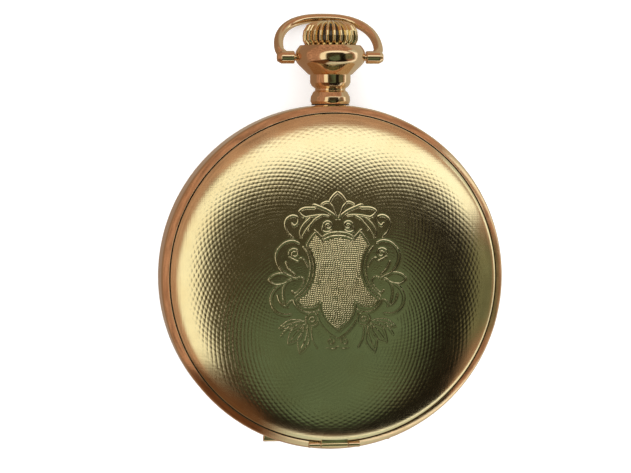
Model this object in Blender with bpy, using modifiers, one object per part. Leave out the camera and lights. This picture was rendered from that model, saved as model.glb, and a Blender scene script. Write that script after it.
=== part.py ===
"""Hunter pocket watch, 16 size, lying on its back cover.

All dimensions below are millimetres; the helpers turn them into metres.
+Z is the front of the watch, +Y points at the pendant and the covers hinge at -Y.
The origin is the middle of the flat on the back cover.
"""

import math

import bmesh
import bpy
from mathutils import Matrix, Vector

MM = 0.001
TAU = 2 * math.pi
STEPS = 32
GAP = 0.05

# Case
CASE_R = 25.4
BAND_LOW = 3.4
BAND_HIGH = 11.4
COVER_R = 24.1
COVER_WALL = 0.5
FRONT_SEAT = 11.5
FRONT_RISE = 3.5
BACK_SEAT = 3.3
BACK_FLAT_R = 11.0
BORE_R = 20.9
HINGE_Y = -24.6
HINGE_R = 0.6
HINGE_PIN_R = 0.25
FRONT_HINGE_Z = 11.2
BACK_HINGE_Z = 3.6
FRONT_LEAF_X = 2.9
FRONT_BARREL_X = 5.6
CUVETTE_LEAF_X = 2.1
BACK_LEAF_X = 6.5
BACK_BARREL_X = 9.6
LEAF_HALF = 0.25

# Lift and lock springs, and the screws that hold them in the band
SPRING_R = 23.1
SPRING_LOW = 5.4
SPRING_HIGH = 7.4
SPRING_T = 0.4
SPRING_SCREW_Z = 6.4
SPRING_SCREW_R = 0.4
LOCK_SCREW_AT = math.radians(20)
LIFT_SCREW_AT = math.radians(195)
LOCK_TRAVEL = 0.4

# Pendant, crown and bow
STEM_Z = 7.3
BOW_Y = 32.43
BOW_HEIGHT = 8.9
BOW_HALF_WIDTH = 7.45
BOW_WIRE_R = 0.7
BOW_TILT = math.radians(47.5)
CROWN_RIBS = 24

# Movement levels, back to front
BRIDGE_LOW = 4.1
BRIDGE_HIGH = 5.4
PLATE_LOW = 7.5
PLATE_HIGH = 8.9
PLATE_R = 20.6
DIAL_LOW = 9.5
DIAL_HIGH = 10.0
DIAL_R = 20.3

# Train: centres of the arbors, tooth counts and modules
CENTRE = (0.0, 0.0)
BARREL = (-8.5737, 4.95)
THIRD = (5.6563, 4.4551)
FOURTH = (9.6, 0.0)
ESCAPE = (14.1726, -2.64)
BALANCE = (8.3, -10.3)
MINUTE = (-2.8284, -2.8284)
CROWN_WHEEL = (0.0, 12.0)
BARREL_TEETH = 64
CENTRE_PINION = 8
CENTRE_TEETH = 64
THIRD_PINION = 8
THIRD_TEETH = 60
FOURTH_PINION = 8
FOURTH_TEETH = 70
ESCAPE_PINION = 7
ESCAPE_TEETH = 15
ESCAPE_R = 3.3
CANNON_TEETH = 10
MINUTE_TEETH = 30
MINUTE_PINION = 8
HOUR_TEETH = 32
CROWN_TEETH = 32
RATCHET_TEETH = 48
CENTRE_WHEEL_Z = (5.5, 5.7)
CENTRE_PINION_Z = (6.9, 7.42)
THIRD_PINION_Z = (5.45, 6.2)
THIRD_WHEEL_Z = (6.65, 6.85)
FOURTH_PINION_Z = (6.55, 7.0)
FOURTH_WHEEL_Z = (5.9, 6.1)
ESCAPE_PINION_Z = (5.8, 6.3)
ESCAPE_WHEEL_Z = (6.5, 6.7)
BARREL_TEETH_Z = (7.0, 7.4)
WINDING_WHEELS_Z = (4.35, 4.9)
ARBOR_HOLE_R = 0.25
BARREL_ARBOR_R = 0.55
BARREL_HOLE_R = 0.6

# Escapement, click and the line between the two bridges
PALLET_FROM_ESCAPE = 4.2
PALLET_FOOT_OUT = 5.0
BALANCE_R = 6.1
BALANCE_CLEAR_R = 7.15
FOOT = (-0.3, -17.3)
CLICK_OUT = 8.6
CLICK_AT = 84
BRIDGE_R = 20.2
SPLIT_NORMAL = Vector((-0.7, 0.714))


# ---------- scene and helpers ----------

def clear_scene():
    for obj in list(bpy.data.objects):
        bpy.data.objects.remove(obj)
    watch = bpy.data.collections.new("pocket_watch")
    cutters = bpy.data.collections.new("cutters")
    cutters.hide_render = True
    for collection in (watch, cutters):
        bpy.context.scene.collection.children.link(collection)
    return watch, cutters


WATCH, CUTTERS = clear_scene()


def material(name, colour, metallic, roughness):
    made = bpy.data.materials.new(name)
    made.use_nodes = True
    shader = made.node_tree.nodes["Principled BSDF"]
    shader.inputs["Base Color"].default_value = (*colour, 1)
    shader.inputs["Metallic"].default_value = metallic
    shader.inputs["Roughness"].default_value = roughness
    return made


FINISHES = {
    "gold": ((0.78, 0.56, 0.27), 1, 0.22),
    "rose_gold": ((0.74, 0.46, 0.28), 1, 0.25),
    "brass": ((0.80, 0.62, 0.30), 1, 0.3),
    "nickel": ((0.72, 0.72, 0.68), 1, 0.3),
    "steel": ((0.60, 0.61, 0.63), 1, 0.2),
    "blued_steel": ((0.04, 0.07, 0.30), 1, 0.25),
    "enamel": ((0.93, 0.92, 0.87), 0, 0.15),
    "crystal": ((0.95, 0.97, 0.97), 0, 0.03),
    "ruby": ((0.60, 0.03, 0.10), 0, 0.1),
}
MATERIALS = {name: material(name, *values) for name, values in FINISHES.items()}


def add_object(name, mesh, helper=False):
    obj = bpy.data.objects.new(name, mesh)
    (CUTTERS if helper else WATCH).objects.link(obj)
    if helper:
        obj.hide_render = True
        obj.display_type = "WIRE"
    return obj


def baked(obj, name):
    """A plain mesh object with the shape obj has after its modifiers; obj is removed."""
    graph = bpy.context.evaluated_depsgraph_get()
    mesh = bpy.data.meshes.new_from_object(obj.evaluated_get(graph))
    mesh.transform(obj.matrix_world)
    bpy.data.objects.remove(obj)
    mended = bmesh.new()
    mended.from_mesh(mesh)
    bmesh.ops.remove_doubles(mended, verts=mended.verts, dist=1e-7)
    bmesh.ops.recalc_face_normals(mended, faces=mended.faces)
    mended.to_mesh(mesh)
    mended.free()
    mesh.name = name
    return add_object(name, mesh, helper=True)


def combine(target, tool, operation):
    """Joins tool to target, or cuts it away, and removes tool."""
    name = target.name
    bpy.context.view_layer.update()
    modifier = target.modifiers.new("combine", "BOOLEAN")
    modifier.operation = operation
    modifier.object = tool
    target.name = name + "_before"
    made = baked(target, name)
    bpy.data.objects.remove(tool)
    return made


def joined(first, *others):
    for other in others:
        first = combine(first, other, "UNION")
    return first


def cut(first, *tools):
    for tool in tools:
        first = combine(first, tool, "DIFFERENCE")
    return first


def part(obj, name, slot, origin=None):
    """Makes a finished helper into a node, with its origin on its own axis."""
    obj.name = name
    CUTTERS.objects.unlink(obj)
    WATCH.objects.link(obj)
    obj.hide_render = False
    obj.display_type = "TEXTURED"
    obj.data.materials.clear()
    obj.data.materials.append(MATERIALS[slot])
    if origin:
        place = Vector(origin) * MM
        obj.data.transform(Matrix.Translation(-place))
        obj.location = place
    obj.data.shade_smooth()
    obj.data.set_sharp_from_angle(angle=math.radians(32))
    return obj


def lathe(profile, steps=STEPS, centre=(0, 0), closed=True):
    """Turns a profile of (radius, height) about a vertical axis."""
    mesh = bpy.data.meshes.new("profile")
    points = [(r * MM, 0, z * MM) for r, z in profile]
    edges = [(i, i + 1) for i in range(len(points) - 1)]
    if closed:
        edges.append((len(points) - 1, 0))
    mesh.from_pydata(points, edges, [])
    obj = add_object("turned", mesh, helper=True)
    screw = obj.modifiers.new("turn", "SCREW")
    screw.steps = steps
    screw.render_steps = steps
    screw.use_merge_vertices = True
    screw.merge_threshold = 1e-6
    obj.location = (centre[0] * MM, centre[1] * MM, 0)
    bpy.context.view_layer.update()
    return baked(obj, "turned")


def spindle(profile, steps=16, centre=(0, 0)):
    """A solid of revolution whose profile starts and ends on its axis."""
    low, high = profile[0][1], profile[-1][1]
    return lathe([(0, low), *profile, (0, high)], steps, centre, closed=False)


def disc(r, z0, z1, centre=(0, 0), steps=24):
    return spindle([(r, z0), (r, z1)], steps, centre)


def washer(r_in, r_out, z0, z1, centre=(0, 0), steps=24):
    return lathe([(r_out, z1), (r_out, z0), (r_in, z0), (r_in, z1)], steps, centre)


def slab(low, high):
    """A box from its lowest to its highest corner."""
    mesh = bpy.data.meshes.new("box")
    cube = bmesh.new()
    bmesh.ops.create_cube(cube, size=1)
    size = Vector(high) - Vector(low)
    middle = (Vector(high) + Vector(low)) / 2
    place = Matrix.Translation(middle * MM) @ Matrix.Diagonal((*(size * MM), 1))
    bmesh.ops.transform(cube, matrix=place, verts=cube.verts)
    cube.to_mesh(mesh)
    cube.free()
    return add_object("box", mesh, helper=True)


def turned(obj, axis, angle, about=(0, 0, 0)):
    place = Matrix.Translation(Vector(about) * MM)
    obj.data.transform(place @ Matrix.Rotation(angle, 4, axis) @ place.inverted())
    return obj


def along_x(r, x0, x1, y, z, steps=12):
    rod = turned(disc(r, x0, x1, steps=steps), "Y", math.pi / 2)
    rod.data.transform(Matrix.Translation(Vector((0, y, z)) * MM))
    return rod


def along_y(obj, z=STEM_Z):
    """Lays an upright turned piece along +Y at the height of the stem."""
    turned(obj, "X", -math.pi / 2)
    obj.data.transform(Matrix.Translation(Vector((0, 0, z)) * MM))
    return obj


def circle(r, centre=(0, 0), count=16, start=0.0, sweep=TAU):
    ends = 0 if sweep == TAU else 1
    step = sweep / (count - ends)
    return [
        (centre[0] + r * math.cos(start + i * step), centre[1] + r * math.sin(start + i * step))
        for i in range(count)
    ]


def plate(outlines, z0, z1):
    """A flat piece from closed outlines: the first is its edge, the others are holes."""
    curve = bpy.data.curves.new("outline", "CURVE")
    curve.dimensions = "2D"
    curve.fill_mode = "BOTH"
    curve.extrude = (z1 - z0) / 2 * MM
    for outline in outlines:
        spline = curve.splines.new("POLY")
        spline.points.add(len(outline) - 1)
        for point, (x, y) in zip(spline.points, outline):
            point.co = (x * MM, y * MM, 0, 1)
        spline.use_cyclic_u = True
    obj = bpy.data.objects.new("outline", curve)
    CUTTERS.objects.link(obj)
    obj.location.z = (z0 + z1) / 2 * MM
    bpy.context.view_layer.update()
    return baked(obj, "plate")


def ribbon(points, z0, z1, thickness):
    """A strip of spring steel standing on edge along the points."""
    curve = bpy.data.curves.new("strip", "CURVE")
    curve.dimensions = "3D"
    curve.extrude = (z1 - z0) / 2 * MM
    spline = curve.splines.new("POLY")
    spline.points.add(len(points) - 1)
    for point, (x, y) in zip(spline.points, points):
        point.co = (x * MM, y * MM, (z0 + z1) / 2 * MM, 1)
    obj = bpy.data.objects.new("strip", curve)
    CUTTERS.objects.link(obj)
    bpy.context.view_layer.update()
    strip = baked(obj, "strip")
    thick = strip.modifiers.new("thickness", "SOLIDIFY")
    thick.thickness = thickness * MM
    thick.offset = 0
    bpy.context.view_layer.update()
    return baked(strip, "ribbon")


def spiral(centre, r0, r1, coils, per_coil):
    count = int(coils * per_coil)
    turns = [i / per_coil * TAU for i in range(count + 1)]
    radii = [r0 + (r1 - r0) * i / count for i in range(count + 1)]
    return [
        (centre[0] + r * math.cos(a), centre[1] + r * math.sin(a))
        for a, r in zip(turns, radii)
    ]


def polar(r, degrees, centre=(0, 0)):
    angle = math.radians(degrees)
    return (centre[0] + r * math.cos(angle), centre[1] + r * math.sin(angle))


def direction(a, b):
    return math.atan2(b[1] - a[1], b[0] - a[0])


def distance(a, b):
    return math.hypot(b[0] - a[0], b[1] - a[1])


def module(a, b, teeth_a, teeth_b):
    return 2 * distance(a, b) / (teeth_a + teeth_b)


def mesh_phase(teeth_a, phase_a, toward_b, teeth_b):
    """The angle of wheel b's first tooth that puts it in mesh with wheel a."""
    ahead = (toward_b - phase_a) * teeth_a / teeth_b
    return toward_b + math.pi + math.pi / teeth_b + ahead


def gear_outline(centre, teeth, gear_module, phase):
    tip = (teeth / 2 + 0.8) * gear_module
    root = (teeth / 2 - 1.1) * gear_module
    step = math.pi / teeth
    return [
        polar((tip, root)[i % 2], math.degrees(phase + i * step), centre)
        for i in range(2 * teeth)
    ]


def crossings(centre, r_in, r_out, arms, arm_half):
    """Holes between the arms of a wheel."""
    holes = []
    for arm in range(arms):
        start = arm * TAU / arms
        outer_trim = arm_half / r_out
        inner_trim = arm_half / r_in
        sweep = TAU / arms
        outer = circle(r_out, centre, 4, start + outer_trim, sweep - 2 * outer_trim)
        inner = circle(r_in, centre, 3, start + inner_trim, sweep - 2 * inner_trim)
        holes.append(outer + inner[::-1])
    return holes


def gear(centre, teeth, gear_module, phase, z0, z1, arms=0):
    outlines = [gear_outline(centre, teeth, gear_module, phase)]
    if arms:
        rim = (teeth / 2 - 1.1) * gear_module * 0.88
        outlines += crossings(centre, 1.5, rim, arms, 0.3)
    return plate(outlines, z0, z1)


# ---------- case ----------

def dome(r, edge_r, rise):
    return rise * max(0, 1 - (r / edge_r) ** 2.4) ** 0.75


def hinge_bore(height):
    return along_x(HINGE_PIN_R + GAP, -12, 12, HINGE_Y, height)


def front_cover():
    radii = [1.0, 0.975, 0.9, 0.75, 0.45]
    outer = [(COVER_R * f, FRONT_SEAT + dome(f, 1, FRONT_RISE)) for f in radii]
    inside = COVER_R - COVER_WALL
    inner = [(inside * f, FRONT_SEAT + dome(f, 1, FRONT_RISE - COVER_WALL)) for f in radii]
    profile = [(0, FRONT_SEAT + FRONT_RISE), *outer[::-1], *inner]
    profile.append((0, FRONT_SEAT + FRONT_RISE - COVER_WALL))
    cover = lathe(profile, closed=False)
    leaf = slab(
        (-FRONT_LEAF_X, HINGE_Y, FRONT_SEAT - LEAF_HALF),
        (FRONT_LEAF_X, HINGE_Y + 0.95, FRONT_SEAT + LEAF_HALF),
    )
    knuckle = along_x(HINGE_R, -FRONT_LEAF_X, FRONT_LEAF_X, HINGE_Y, FRONT_HINGE_Z)
    cover = cut(joined(cover, knuckle, leaf), hinge_bore(FRONT_HINGE_Z))
    part(cover, "front_cover", "gold", (0, HINGE_Y, FRONT_HINGE_Z))


def back_height(r):
    share = max(0, (r - BACK_FLAT_R) / (COVER_R - BACK_FLAT_R))
    return BACK_SEAT * (1 - max(0, 1 - share**1.9) ** 0.75)


def back_cover():
    shares = [0, 0.4, 0.7, 0.9, 0.975, 1.0]
    radii = [BACK_FLAT_R + (COVER_R - BACK_FLAT_R) * s for s in shares]
    outer = [(r, back_height(r)) for r in radii]
    inner = [(r - COVER_WALL * s, back_height(r) + COVER_WALL) for r, s in zip(radii[:-2], shares)]
    inner.append((COVER_R - COVER_WALL, BACK_SEAT))
    profile = [(0, 0), *outer, *inner[::-1], (0, COVER_WALL)]
    cover = lathe(profile, closed=False)
    knuckles = []
    for side in (-1, 1):
        x0, x1 = sorted((side * (CUVETTE_LEAF_X + 0.1), side * BACK_LEAF_X))
        leaf = slab((x0, HINGE_Y, BACK_SEAT - LEAF_HALF), (x1, HINGE_Y + 1.6, BACK_SEAT + LEAF_HALF))
        knuckles += [leaf, along_x(HINGE_R, x0, x1, HINGE_Y, BACK_HINGE_Z)]
    cover = cut(joined(cover, *knuckles), hinge_bore(BACK_HINGE_Z))
    part(cover, "back_cover", "gold", (0, HINGE_Y, BACK_HINGE_Z))


def cuvette():
    radii = [0, 8, 14, 18, 20.5, 22.6]
    low = [(r, 1.5 + 2.1 * (r / 22.8) ** 2.6) for r in radii]
    high = [(r, z + 0.35) for r, z in low]
    cover = lathe(low + high[::-1], closed=False)
    leaf = slab((-CUVETTE_LEAF_X, HINGE_Y, 3.47), (CUVETTE_LEAF_X, -21.9, 3.85))
    knuckle = along_x(HINGE_R, -CUVETTE_LEAF_X, CUVETTE_LEAF_X, HINGE_Y, BACK_HINGE_Z)
    cover = cut(joined(cover, knuckle, leaf), hinge_bore(BACK_HINGE_Z))
    part(cover, "cuvette", "gold", (0, HINGE_Y, BACK_HINGE_Z))


def case_center():
    profile = [
        (24.35, BAND_HIGH), (25.15, 11.1), (CASE_R, 10.4), (CASE_R, 4.4), (25.15, 3.7),
        (24.35, BAND_LOW), (22.8, BAND_LOW), (22.8, 4.0), (BORE_R, 4.0), (BORE_R, 8.35),
        (21.9, 8.35), (21.9, 5.0), (24.5, 5.0), (24.5, 10.0), (22.5, 10.0), (22.5, BAND_HIGH),
    ]
    band = lathe(profile)
    for side in (-1, 1):
        x0, x1 = sorted((side * (FRONT_LEAF_X + 0.1), side * FRONT_BARREL_X))
        band = joined(band, along_x(HINGE_R, x0, x1, HINGE_Y, FRONT_HINGE_Z))
        x0, x1 = sorted((side * (BACK_LEAF_X + 0.1), side * BACK_BARREL_X))
        band = joined(band, along_x(HINGE_R, x0, x1, HINGE_Y, BACK_HINGE_Z))
    front_x = FRONT_LEAF_X + 0.05
    back_x = BACK_LEAF_X + 0.05
    cuvette_x = CUVETTE_LEAF_X + 0.05
    band = cut(
        band,
        slab((-front_x, -26, FRONT_SEAT - 0.3), (front_x, -23.4, 12.2)),
        along_x(HINGE_R + GAP, -front_x, front_x, HINGE_Y, FRONT_HINGE_Z),
        slab((-back_x, -26, 2.8), (back_x, -22.85, BACK_SEAT + 0.32)),
        along_x(HINGE_R + GAP, -back_x, back_x, HINGE_Y, BACK_HINGE_Z),
        slab((-cuvette_x, -26, 3.0), (cuvette_x, -22.4, 3.95)),
        hinge_bore(FRONT_HINGE_Z),
        hinge_bore(BACK_HINGE_Z),
        along_y(disc(2.35, 23.5, 26)),
        along_y(disc(0.85, 20, 23)),
        slab((-2.4, 22.2, 9.8), (2.4, 23.6, 12)),
        slab((-6.3, -23.3, 9.8), (-3.6, -21.6, 12)),
    )
    for angle in (LOCK_SCREW_AT, LIFT_SCREW_AT):
        band = cut(band, screw_hole(angle, 24, 25.1))
    part(band, "case_center", "rose_gold")


def hinge_pins():
    front = along_x(HINGE_PIN_R, -FRONT_BARREL_X, FRONT_BARREL_X, HINGE_Y, FRONT_HINGE_Z, 12)
    part(front, "front_hinge_pin", "rose_gold")
    back = along_x(HINGE_PIN_R, -BACK_BARREL_X, BACK_BARREL_X, HINGE_Y, BACK_HINGE_Z, 12)
    part(back, "back_hinge_pin", "rose_gold")


def bezel_and_crystal():
    bezel = lathe([
        (20.7, 11.9), (21.6, 11.9), (22.35, 11.3), (22.35, 10.1), (19.9, 10.1),
        (19.9, 11.15), (20.7, 11.15),
    ])
    part(bezel, "bezel", "gold")
    low = [(20.6, 11.2), (19.0, 11.3), (11, 11.7), (0, 11.8)]
    high = [(r, z + 0.42) for r, z in low]
    part(lathe(low[::-1] + high, closed=False), "crystal", "crystal")


def screw_hole(angle, r0, r1):
    """A cutter through the band or a spring, along one of the spring screws."""
    return turned(along_x(SPRING_SCREW_R + GAP, r0, r1, 0, SPRING_SCREW_Z, 10), "Z", angle)


def spring_arc(start, sweep, count):
    path = circle(SPRING_R, (0, 0), count, math.radians(start), math.radians(sweep))
    return ribbon(path, SPRING_LOW, SPRING_HIGH, SPRING_T)


def case_springs():
    """The two springs in the band: one lifts the lid, the other locks it by the pendant."""
    lift = spring_arc(188, 68, 12)
    toe = slab((-5.9, -23.0, 5.6), (-4.9, -22.1, FRONT_SEAT - 0.15))
    part(cut(joined(lift, toe), screw_hole(LIFT_SCREW_AT, 22, 24)), "lift_spring", "steel")
    lock = spring_arc(12, 76, 14)
    head = slab((-2.1, 22.85, 5.3), (2.1, 23.3, 9.2))
    post = slab((-1.5, 22.85, 9.0), (1.5, 23.1, FRONT_SEAT + 0.12))
    half = SPRING_SCREW_R + 0.07
    slot = slab((22, -half, SPRING_SCREW_Z - half), (24, half + LOCK_TRAVEL, SPRING_SCREW_Z + half))
    slot = turned(slot, "Z", LOCK_SCREW_AT)
    lock = cut(joined(lock, head, post), slot, along_y(disc(0.95, 22, 24, steps=16)))
    part(lock, "lock_spring", "steel")
    for name, angle in (("lock_spring_screw", LOCK_SCREW_AT), ("lift_spring_screw", LIFT_SCREW_AT)):
        shank = [(SPRING_SCREW_R, 25.0), (SPRING_SCREW_R, 22.5)]
        screw = turned(spindle([*shank, (0.8, 22.48), (0.8, 22.15)], 12), "Y", math.pi / 2)
        screw.data.transform(Matrix.Translation(Vector((0, 0, SPRING_SCREW_Z)) * MM))
        part(turned(screw, "Z", angle), name, "steel")


# ---------- pendant, crown, bow ----------

def pendant():
    profile = [
        (2.3, 24.6), (2.3, 25.48), (2.75, 25.5), (2.95, 25.95), (2.9, 26.6), (2.55, 27.3),
        (2.25, 27.55), (2.25, 27.8), (2.75, 28.2), (3.0, 28.7), (3.0, 29.9), (3.35, 30.0),
        (5.15, 31.55), (5.2, 32.9), (4.45, 34.2), (4.25, 34.2), (4.25, 33.1), (1.3, 33.1),
        (1.3, 24.6),
    ]
    body = along_y(lathe(profile, 24))
    body = cut(body, along_x(0.55, -6, -4, BOW_Y, STEM_Z, 12), along_x(0.55, 4, 6, BOW_Y, STEM_Z, 12))
    part(body, "pendant", "rose_gold")
    sleeve = along_y(lathe([(1.22, 33.0), (1.22, 25.6), (0.75, 25.6), (0.75, 33.0)], 16))
    part(sleeve, "pendant_sleeve", "steel")


def bow():
    """A flat-topped oval of wire whose ends turn in and thicken into the lugs."""
    side = 14
    half = []
    for i in range(side + 1):
        angle = -0.35 + (math.pi / 2 + 0.35) * i / side
        x = BOW_HALF_WIDTH * math.copysign(abs(math.cos(angle)) ** 0.8, math.cos(angle))
        y = 2.2 + (BOW_HEIGHT - 2.2) * math.copysign(abs(math.sin(angle)) ** 0.9, math.sin(angle))
        half.append((x, y))
    half = [(6.6, 0.0)] + half[2:]
    path = half + [(-x, y) for x, y in half[-2::-1]]
    curve = bpy.data.curves.new("bow", "CURVE")
    curve.dimensions = "3D"
    curve.bevel_depth = BOW_WIRE_R * MM
    curve.bevel_resolution = 2
    curve.use_fill_caps = True
    spline = curve.splines.new("POLY")
    spline.points.add(len(path) - 1)
    for point, (x, y) in zip(spline.points, path):
        point.co = (x * MM, y * MM, 0, 1)
    wire = bpy.data.objects.new("bow", curve)
    CUTTERS.objects.link(wire)
    bpy.context.view_layer.update()
    wire = baked(wire, "bow_wire")
    for side in (-1, 1):
        lug = spindle([(0.5, 4.3), (0.5, 5.3), (0.95, 5.4), (0.95, 7.4), (0.6, 7.95)], 12)
        wire = joined(wire, turned(lug, "Y", side * math.pi / 2))
    turned(wire, "X", -BOW_TILT)
    wire.data.transform(Matrix.Translation(Vector((0, BOW_Y, STEM_Z)) * MM))
    part(wire, "bow", "rose_gold", (0, BOW_Y, STEM_Z))


def crown():
    profile = [
        (3.6, 33.85), (4.12, 35.0), (4.05, 36.2), (3.5, 37.2), (2.4, 37.75), (0, 37.85),
    ]
    body = lathe([(0, 33.85), *profile], 2 * CROWN_RIBS, closed=False)
    for vertex in body.data.vertices:
        r = math.hypot(vertex.co.x, vertex.co.y)
        column = round(math.atan2(vertex.co.y, vertex.co.x) / TAU * 2 * CROWN_RIBS)
        if r > 2.3 * MM and column % 2:
            vertex.co.x *= 0.92
            vertex.co.y *= 0.92
    body = cut(along_y(body), along_y(disc(0.66, 30, 36.5, steps=16)))
    part(body, "crown", "gold", (0, 35.9, STEM_Z))
    stem = spindle([
        (0.4, 12.4), (0.4, 15.2), (0.6, 15.25), (0.6, 18.0), (0.35, 18.02), (0.35, 19.2),
        (0.6, 19.22), (0.6, 36.4),
    ], 12)
    part(along_y(stem), "stem", "steel", (0, 24, STEM_Z))


def click_pivot():
    return polar(CLICK_OUT, math.degrees(direction(CENTRE, BARREL)) + CLICK_AT, BARREL)


def winding_work():
    pinion_teeth = 14
    outline = gear_outline((0, 0), pinion_teeth, 2.1 / (pinion_teeth / 2 + 0.8), 0)
    pinion = plate([outline, circle(0.66, count=12)], 15.6, 17.0)
    part(along_y(pinion), "winding_pinion", "steel", (0, 16.3, STEM_Z))
    clutch = lathe([
        (1.5, 15.5), (1.5, 14.6), (1.05, 14.5), (1.05, 13.9), (1.5, 13.8), (1.5, 12.9),
        (0.46, 12.9), (0.46, 14.6), (0.66, 14.62), (0.66, 15.5),
    ], 12)
    part(along_y(clutch), "clutch", "steel", (0, 14.2, STEM_Z))
    arm = plate([[(0.2, 18.35), (3.4, 18.2), (4.2, 19.0), (3.4, 19.3), (0.2, 18.85)]], 8.0, 8.3)
    pin = disc(0.2, 7.75, 8.1, (0.45, 18.6), 8)
    pivot = disc(0.3, 8.05, 8.6, (3.4, 18.75), 10)
    part(joined(arm, pin, pivot), "setting_lever", "steel", (3.4, 18.75, 8.15))
    size = module(BARREL, CROWN_WHEEL, RATCHET_TEETH, CROWN_TEETH)
    toward = direction(BARREL, CROWN_WHEEL)
    wheel = plate([
        gear_outline(CROWN_WHEEL, CROWN_TEETH, size, mesh_phase(RATCHET_TEETH, 0, toward, CROWN_TEETH)),
        circle(1.1, CROWN_WHEEL),
    ], *WINDING_WHEELS_Z)
    part(wheel, "crown_wheel", "steel", (*CROWN_WHEEL, 4.6))
    core = spindle([(0.55, 5.35), (0.55, 4.95), (1.0, 4.93), (1.0, 4.3), (1.7, 4.28), (1.7, 3.95)], 16,
                   CROWN_WHEEL)
    part(core, "crown_wheel_core", "steel")
    ratchet = plate([
        gear_outline(BARREL, RATCHET_TEETH, size, 0),
        circle(BARREL_HOLE_R, BARREL, 12),
    ], *WINDING_WHEELS_Z)
    part(ratchet, "ratchet_wheel", "steel", (*BARREL, 4.6))
    tip = polar(7.25, math.degrees(direction(CENTRE, BARREL)) + 62, BARREL)
    pivot = click_pivot()
    click = plate([[tip, polar(0.7, 160, pivot), polar(0.7, 235, pivot), polar(0.7, 310, pivot),
                    polar(0.7, 25, pivot)]], 3.8, 4.05)
    part(joined(click, disc(0.3, 3.85, 5.2, pivot, 10)), "click", "steel", (*pivot, 4.0))


# ---------- plates ----------

SCREWS = {
    "barrel_bridge_screw_1": polar(18.1, 62),
    "barrel_bridge_screw_2": polar(18.1, 110),
    "barrel_bridge_screw_3": polar(18.1, 205),
    "train_bridge_screw_1": polar(18.1, 20),
    "train_bridge_screw_2": polar(18.1, 240),
}


def pallet_centre():
    share = PALLET_FROM_ESCAPE / distance(ESCAPE, BALANCE)
    return tuple(e + (b - e) * share for e, b in zip(ESCAPE, BALANCE))


def pallet_foot():
    px, py = pallet_centre()
    away = direction(ESCAPE, BALANCE) + math.pi / 2
    return (px + PALLET_FOOT_OUT * math.cos(away), py + PALLET_FOOT_OUT * math.sin(away))


def bar(a, r_a, b, r_b, count=8):
    """The outline of a bar with round ends of two radii."""
    facing = direction(a, b)
    far = circle(r_b, b, count, facing - math.pi / 2, math.pi)
    near = circle(r_a, a, count, facing + math.pi / 2, math.pi)
    return far + near


def main_plate():
    body = lathe([
        (0, PLATE_HIGH), (21.7, PLATE_HIGH), (21.7, 8.4), (PLATE_R, 8.4), (PLATE_R, PLATE_LOW),
        (0, PLATE_LOW),
    ], closed=False)
    for place in SCREWS.values():
        body = joined(body, disc(1.3, BRIDGE_HIGH + GAP, PLATE_LOW + 0.3, place, 10))
    for place in SCREWS.values():
        body = cut(body, disc(0.55, BRIDGE_HIGH - 1, PLATE_LOW, place, 8))
    for place, r in (
        (CENTRE, 0.5), (FOURTH, ARBOR_HOLE_R), (THIRD, ARBOR_HOLE_R), (ESCAPE, ARBOR_HOLE_R),
        (BALANCE, ARBOR_HOLE_R), (pallet_centre(), ARBOR_HOLE_R), (MINUTE, 0.35), (BARREL, BARREL_HOLE_R),
    ):
        body = cut(body, disc(r, PLATE_LOW - 1, PLATE_HIGH + 1, place, 8))
    body = cut(
        body,
        slab((-2.3, 11.6, PLATE_LOW - 1), (2.3, 17.6, PLATE_HIGH + 1)),
        slab((-0.8, 17, PLATE_LOW - 1), (0.8, 23, 8.05)),
        slab((-0.1, 17.4, 7.6), (5.2, 19.9, PLATE_HIGH + 1)),
    )
    part(body, "main_plate", "nickel")


def bridge_outline(keep_barrel_side, r):
    """The part of a round plate on one side of the line that splits the two bridges."""
    offset = 1.65 if keep_barrel_side else 1.5
    reach = math.acos(offset / r)
    facing = math.atan2(SPLIT_NORMAL.y, SPLIT_NORMAL.x)
    if keep_barrel_side:
        return circle(r, (0, 0), 20, facing - reach, 2 * reach)
    return circle(r, (0, 0), 22, facing + reach, TAU - 2 * reach)


def barrel_bridge():
    holes = [circle(BARREL_HOLE_R, BARREL, 12)]
    holes += [circle(0.55, p, 10) for n, p in SCREWS.items() if n.startswith("barrel")]
    body = plate([bridge_outline(True, BRIDGE_R), *holes], BRIDGE_LOW, BRIDGE_HIGH)
    size = module(BARREL, CROWN_WHEEL, RATCHET_TEETH, CROWN_TEETH)
    ratchet_r = (RATCHET_TEETH / 2 + 1.6) * size
    crown_r = (CROWN_TEETH / 2 + 1.6) * size
    body = cut(
        body,
        disc(ratchet_r, 3, 4.95, BARREL, 28),
        disc(crown_r, 3, 4.95, CROWN_WHEEL, 24),
        disc(0.6, 4, 6, CROWN_WHEEL, 10),
        slab((-1.6, 15.2, 4), (1.6, 17.4, 6)),
        disc(0.36, 3, 5.25, click_pivot(), 10),
    )
    part(body, "barrel_bridge", "nickel")


def train_bridge():
    holes = [circle(0.55, p, 10) for n, p in SCREWS.items() if n.startswith("train")]
    holes += [circle(1.15, CENTRE, 14), circle(0.95, THIRD, 12), circle(0.95, FOURTH, 12)]
    holes.append(circle(0.95, ESCAPE, 12))
    body = plate([bridge_outline(False, BRIDGE_R), *holes], BRIDGE_LOW, BRIDGE_HIGH)
    body = cut(
        body,
        disc(BALANCE_CLEAR_R, 3, 6, BALANCE, 28),
        disc(1.7, 3, 6, pallet_foot(), 14),
        plate([bar(BALANCE, 3.0, FOOT, 2.8)], 3, 6),
        disc(2.8, 3, 6, FOOT, 16),
    )
    part(body, "train_bridge", "nickel")


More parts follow.
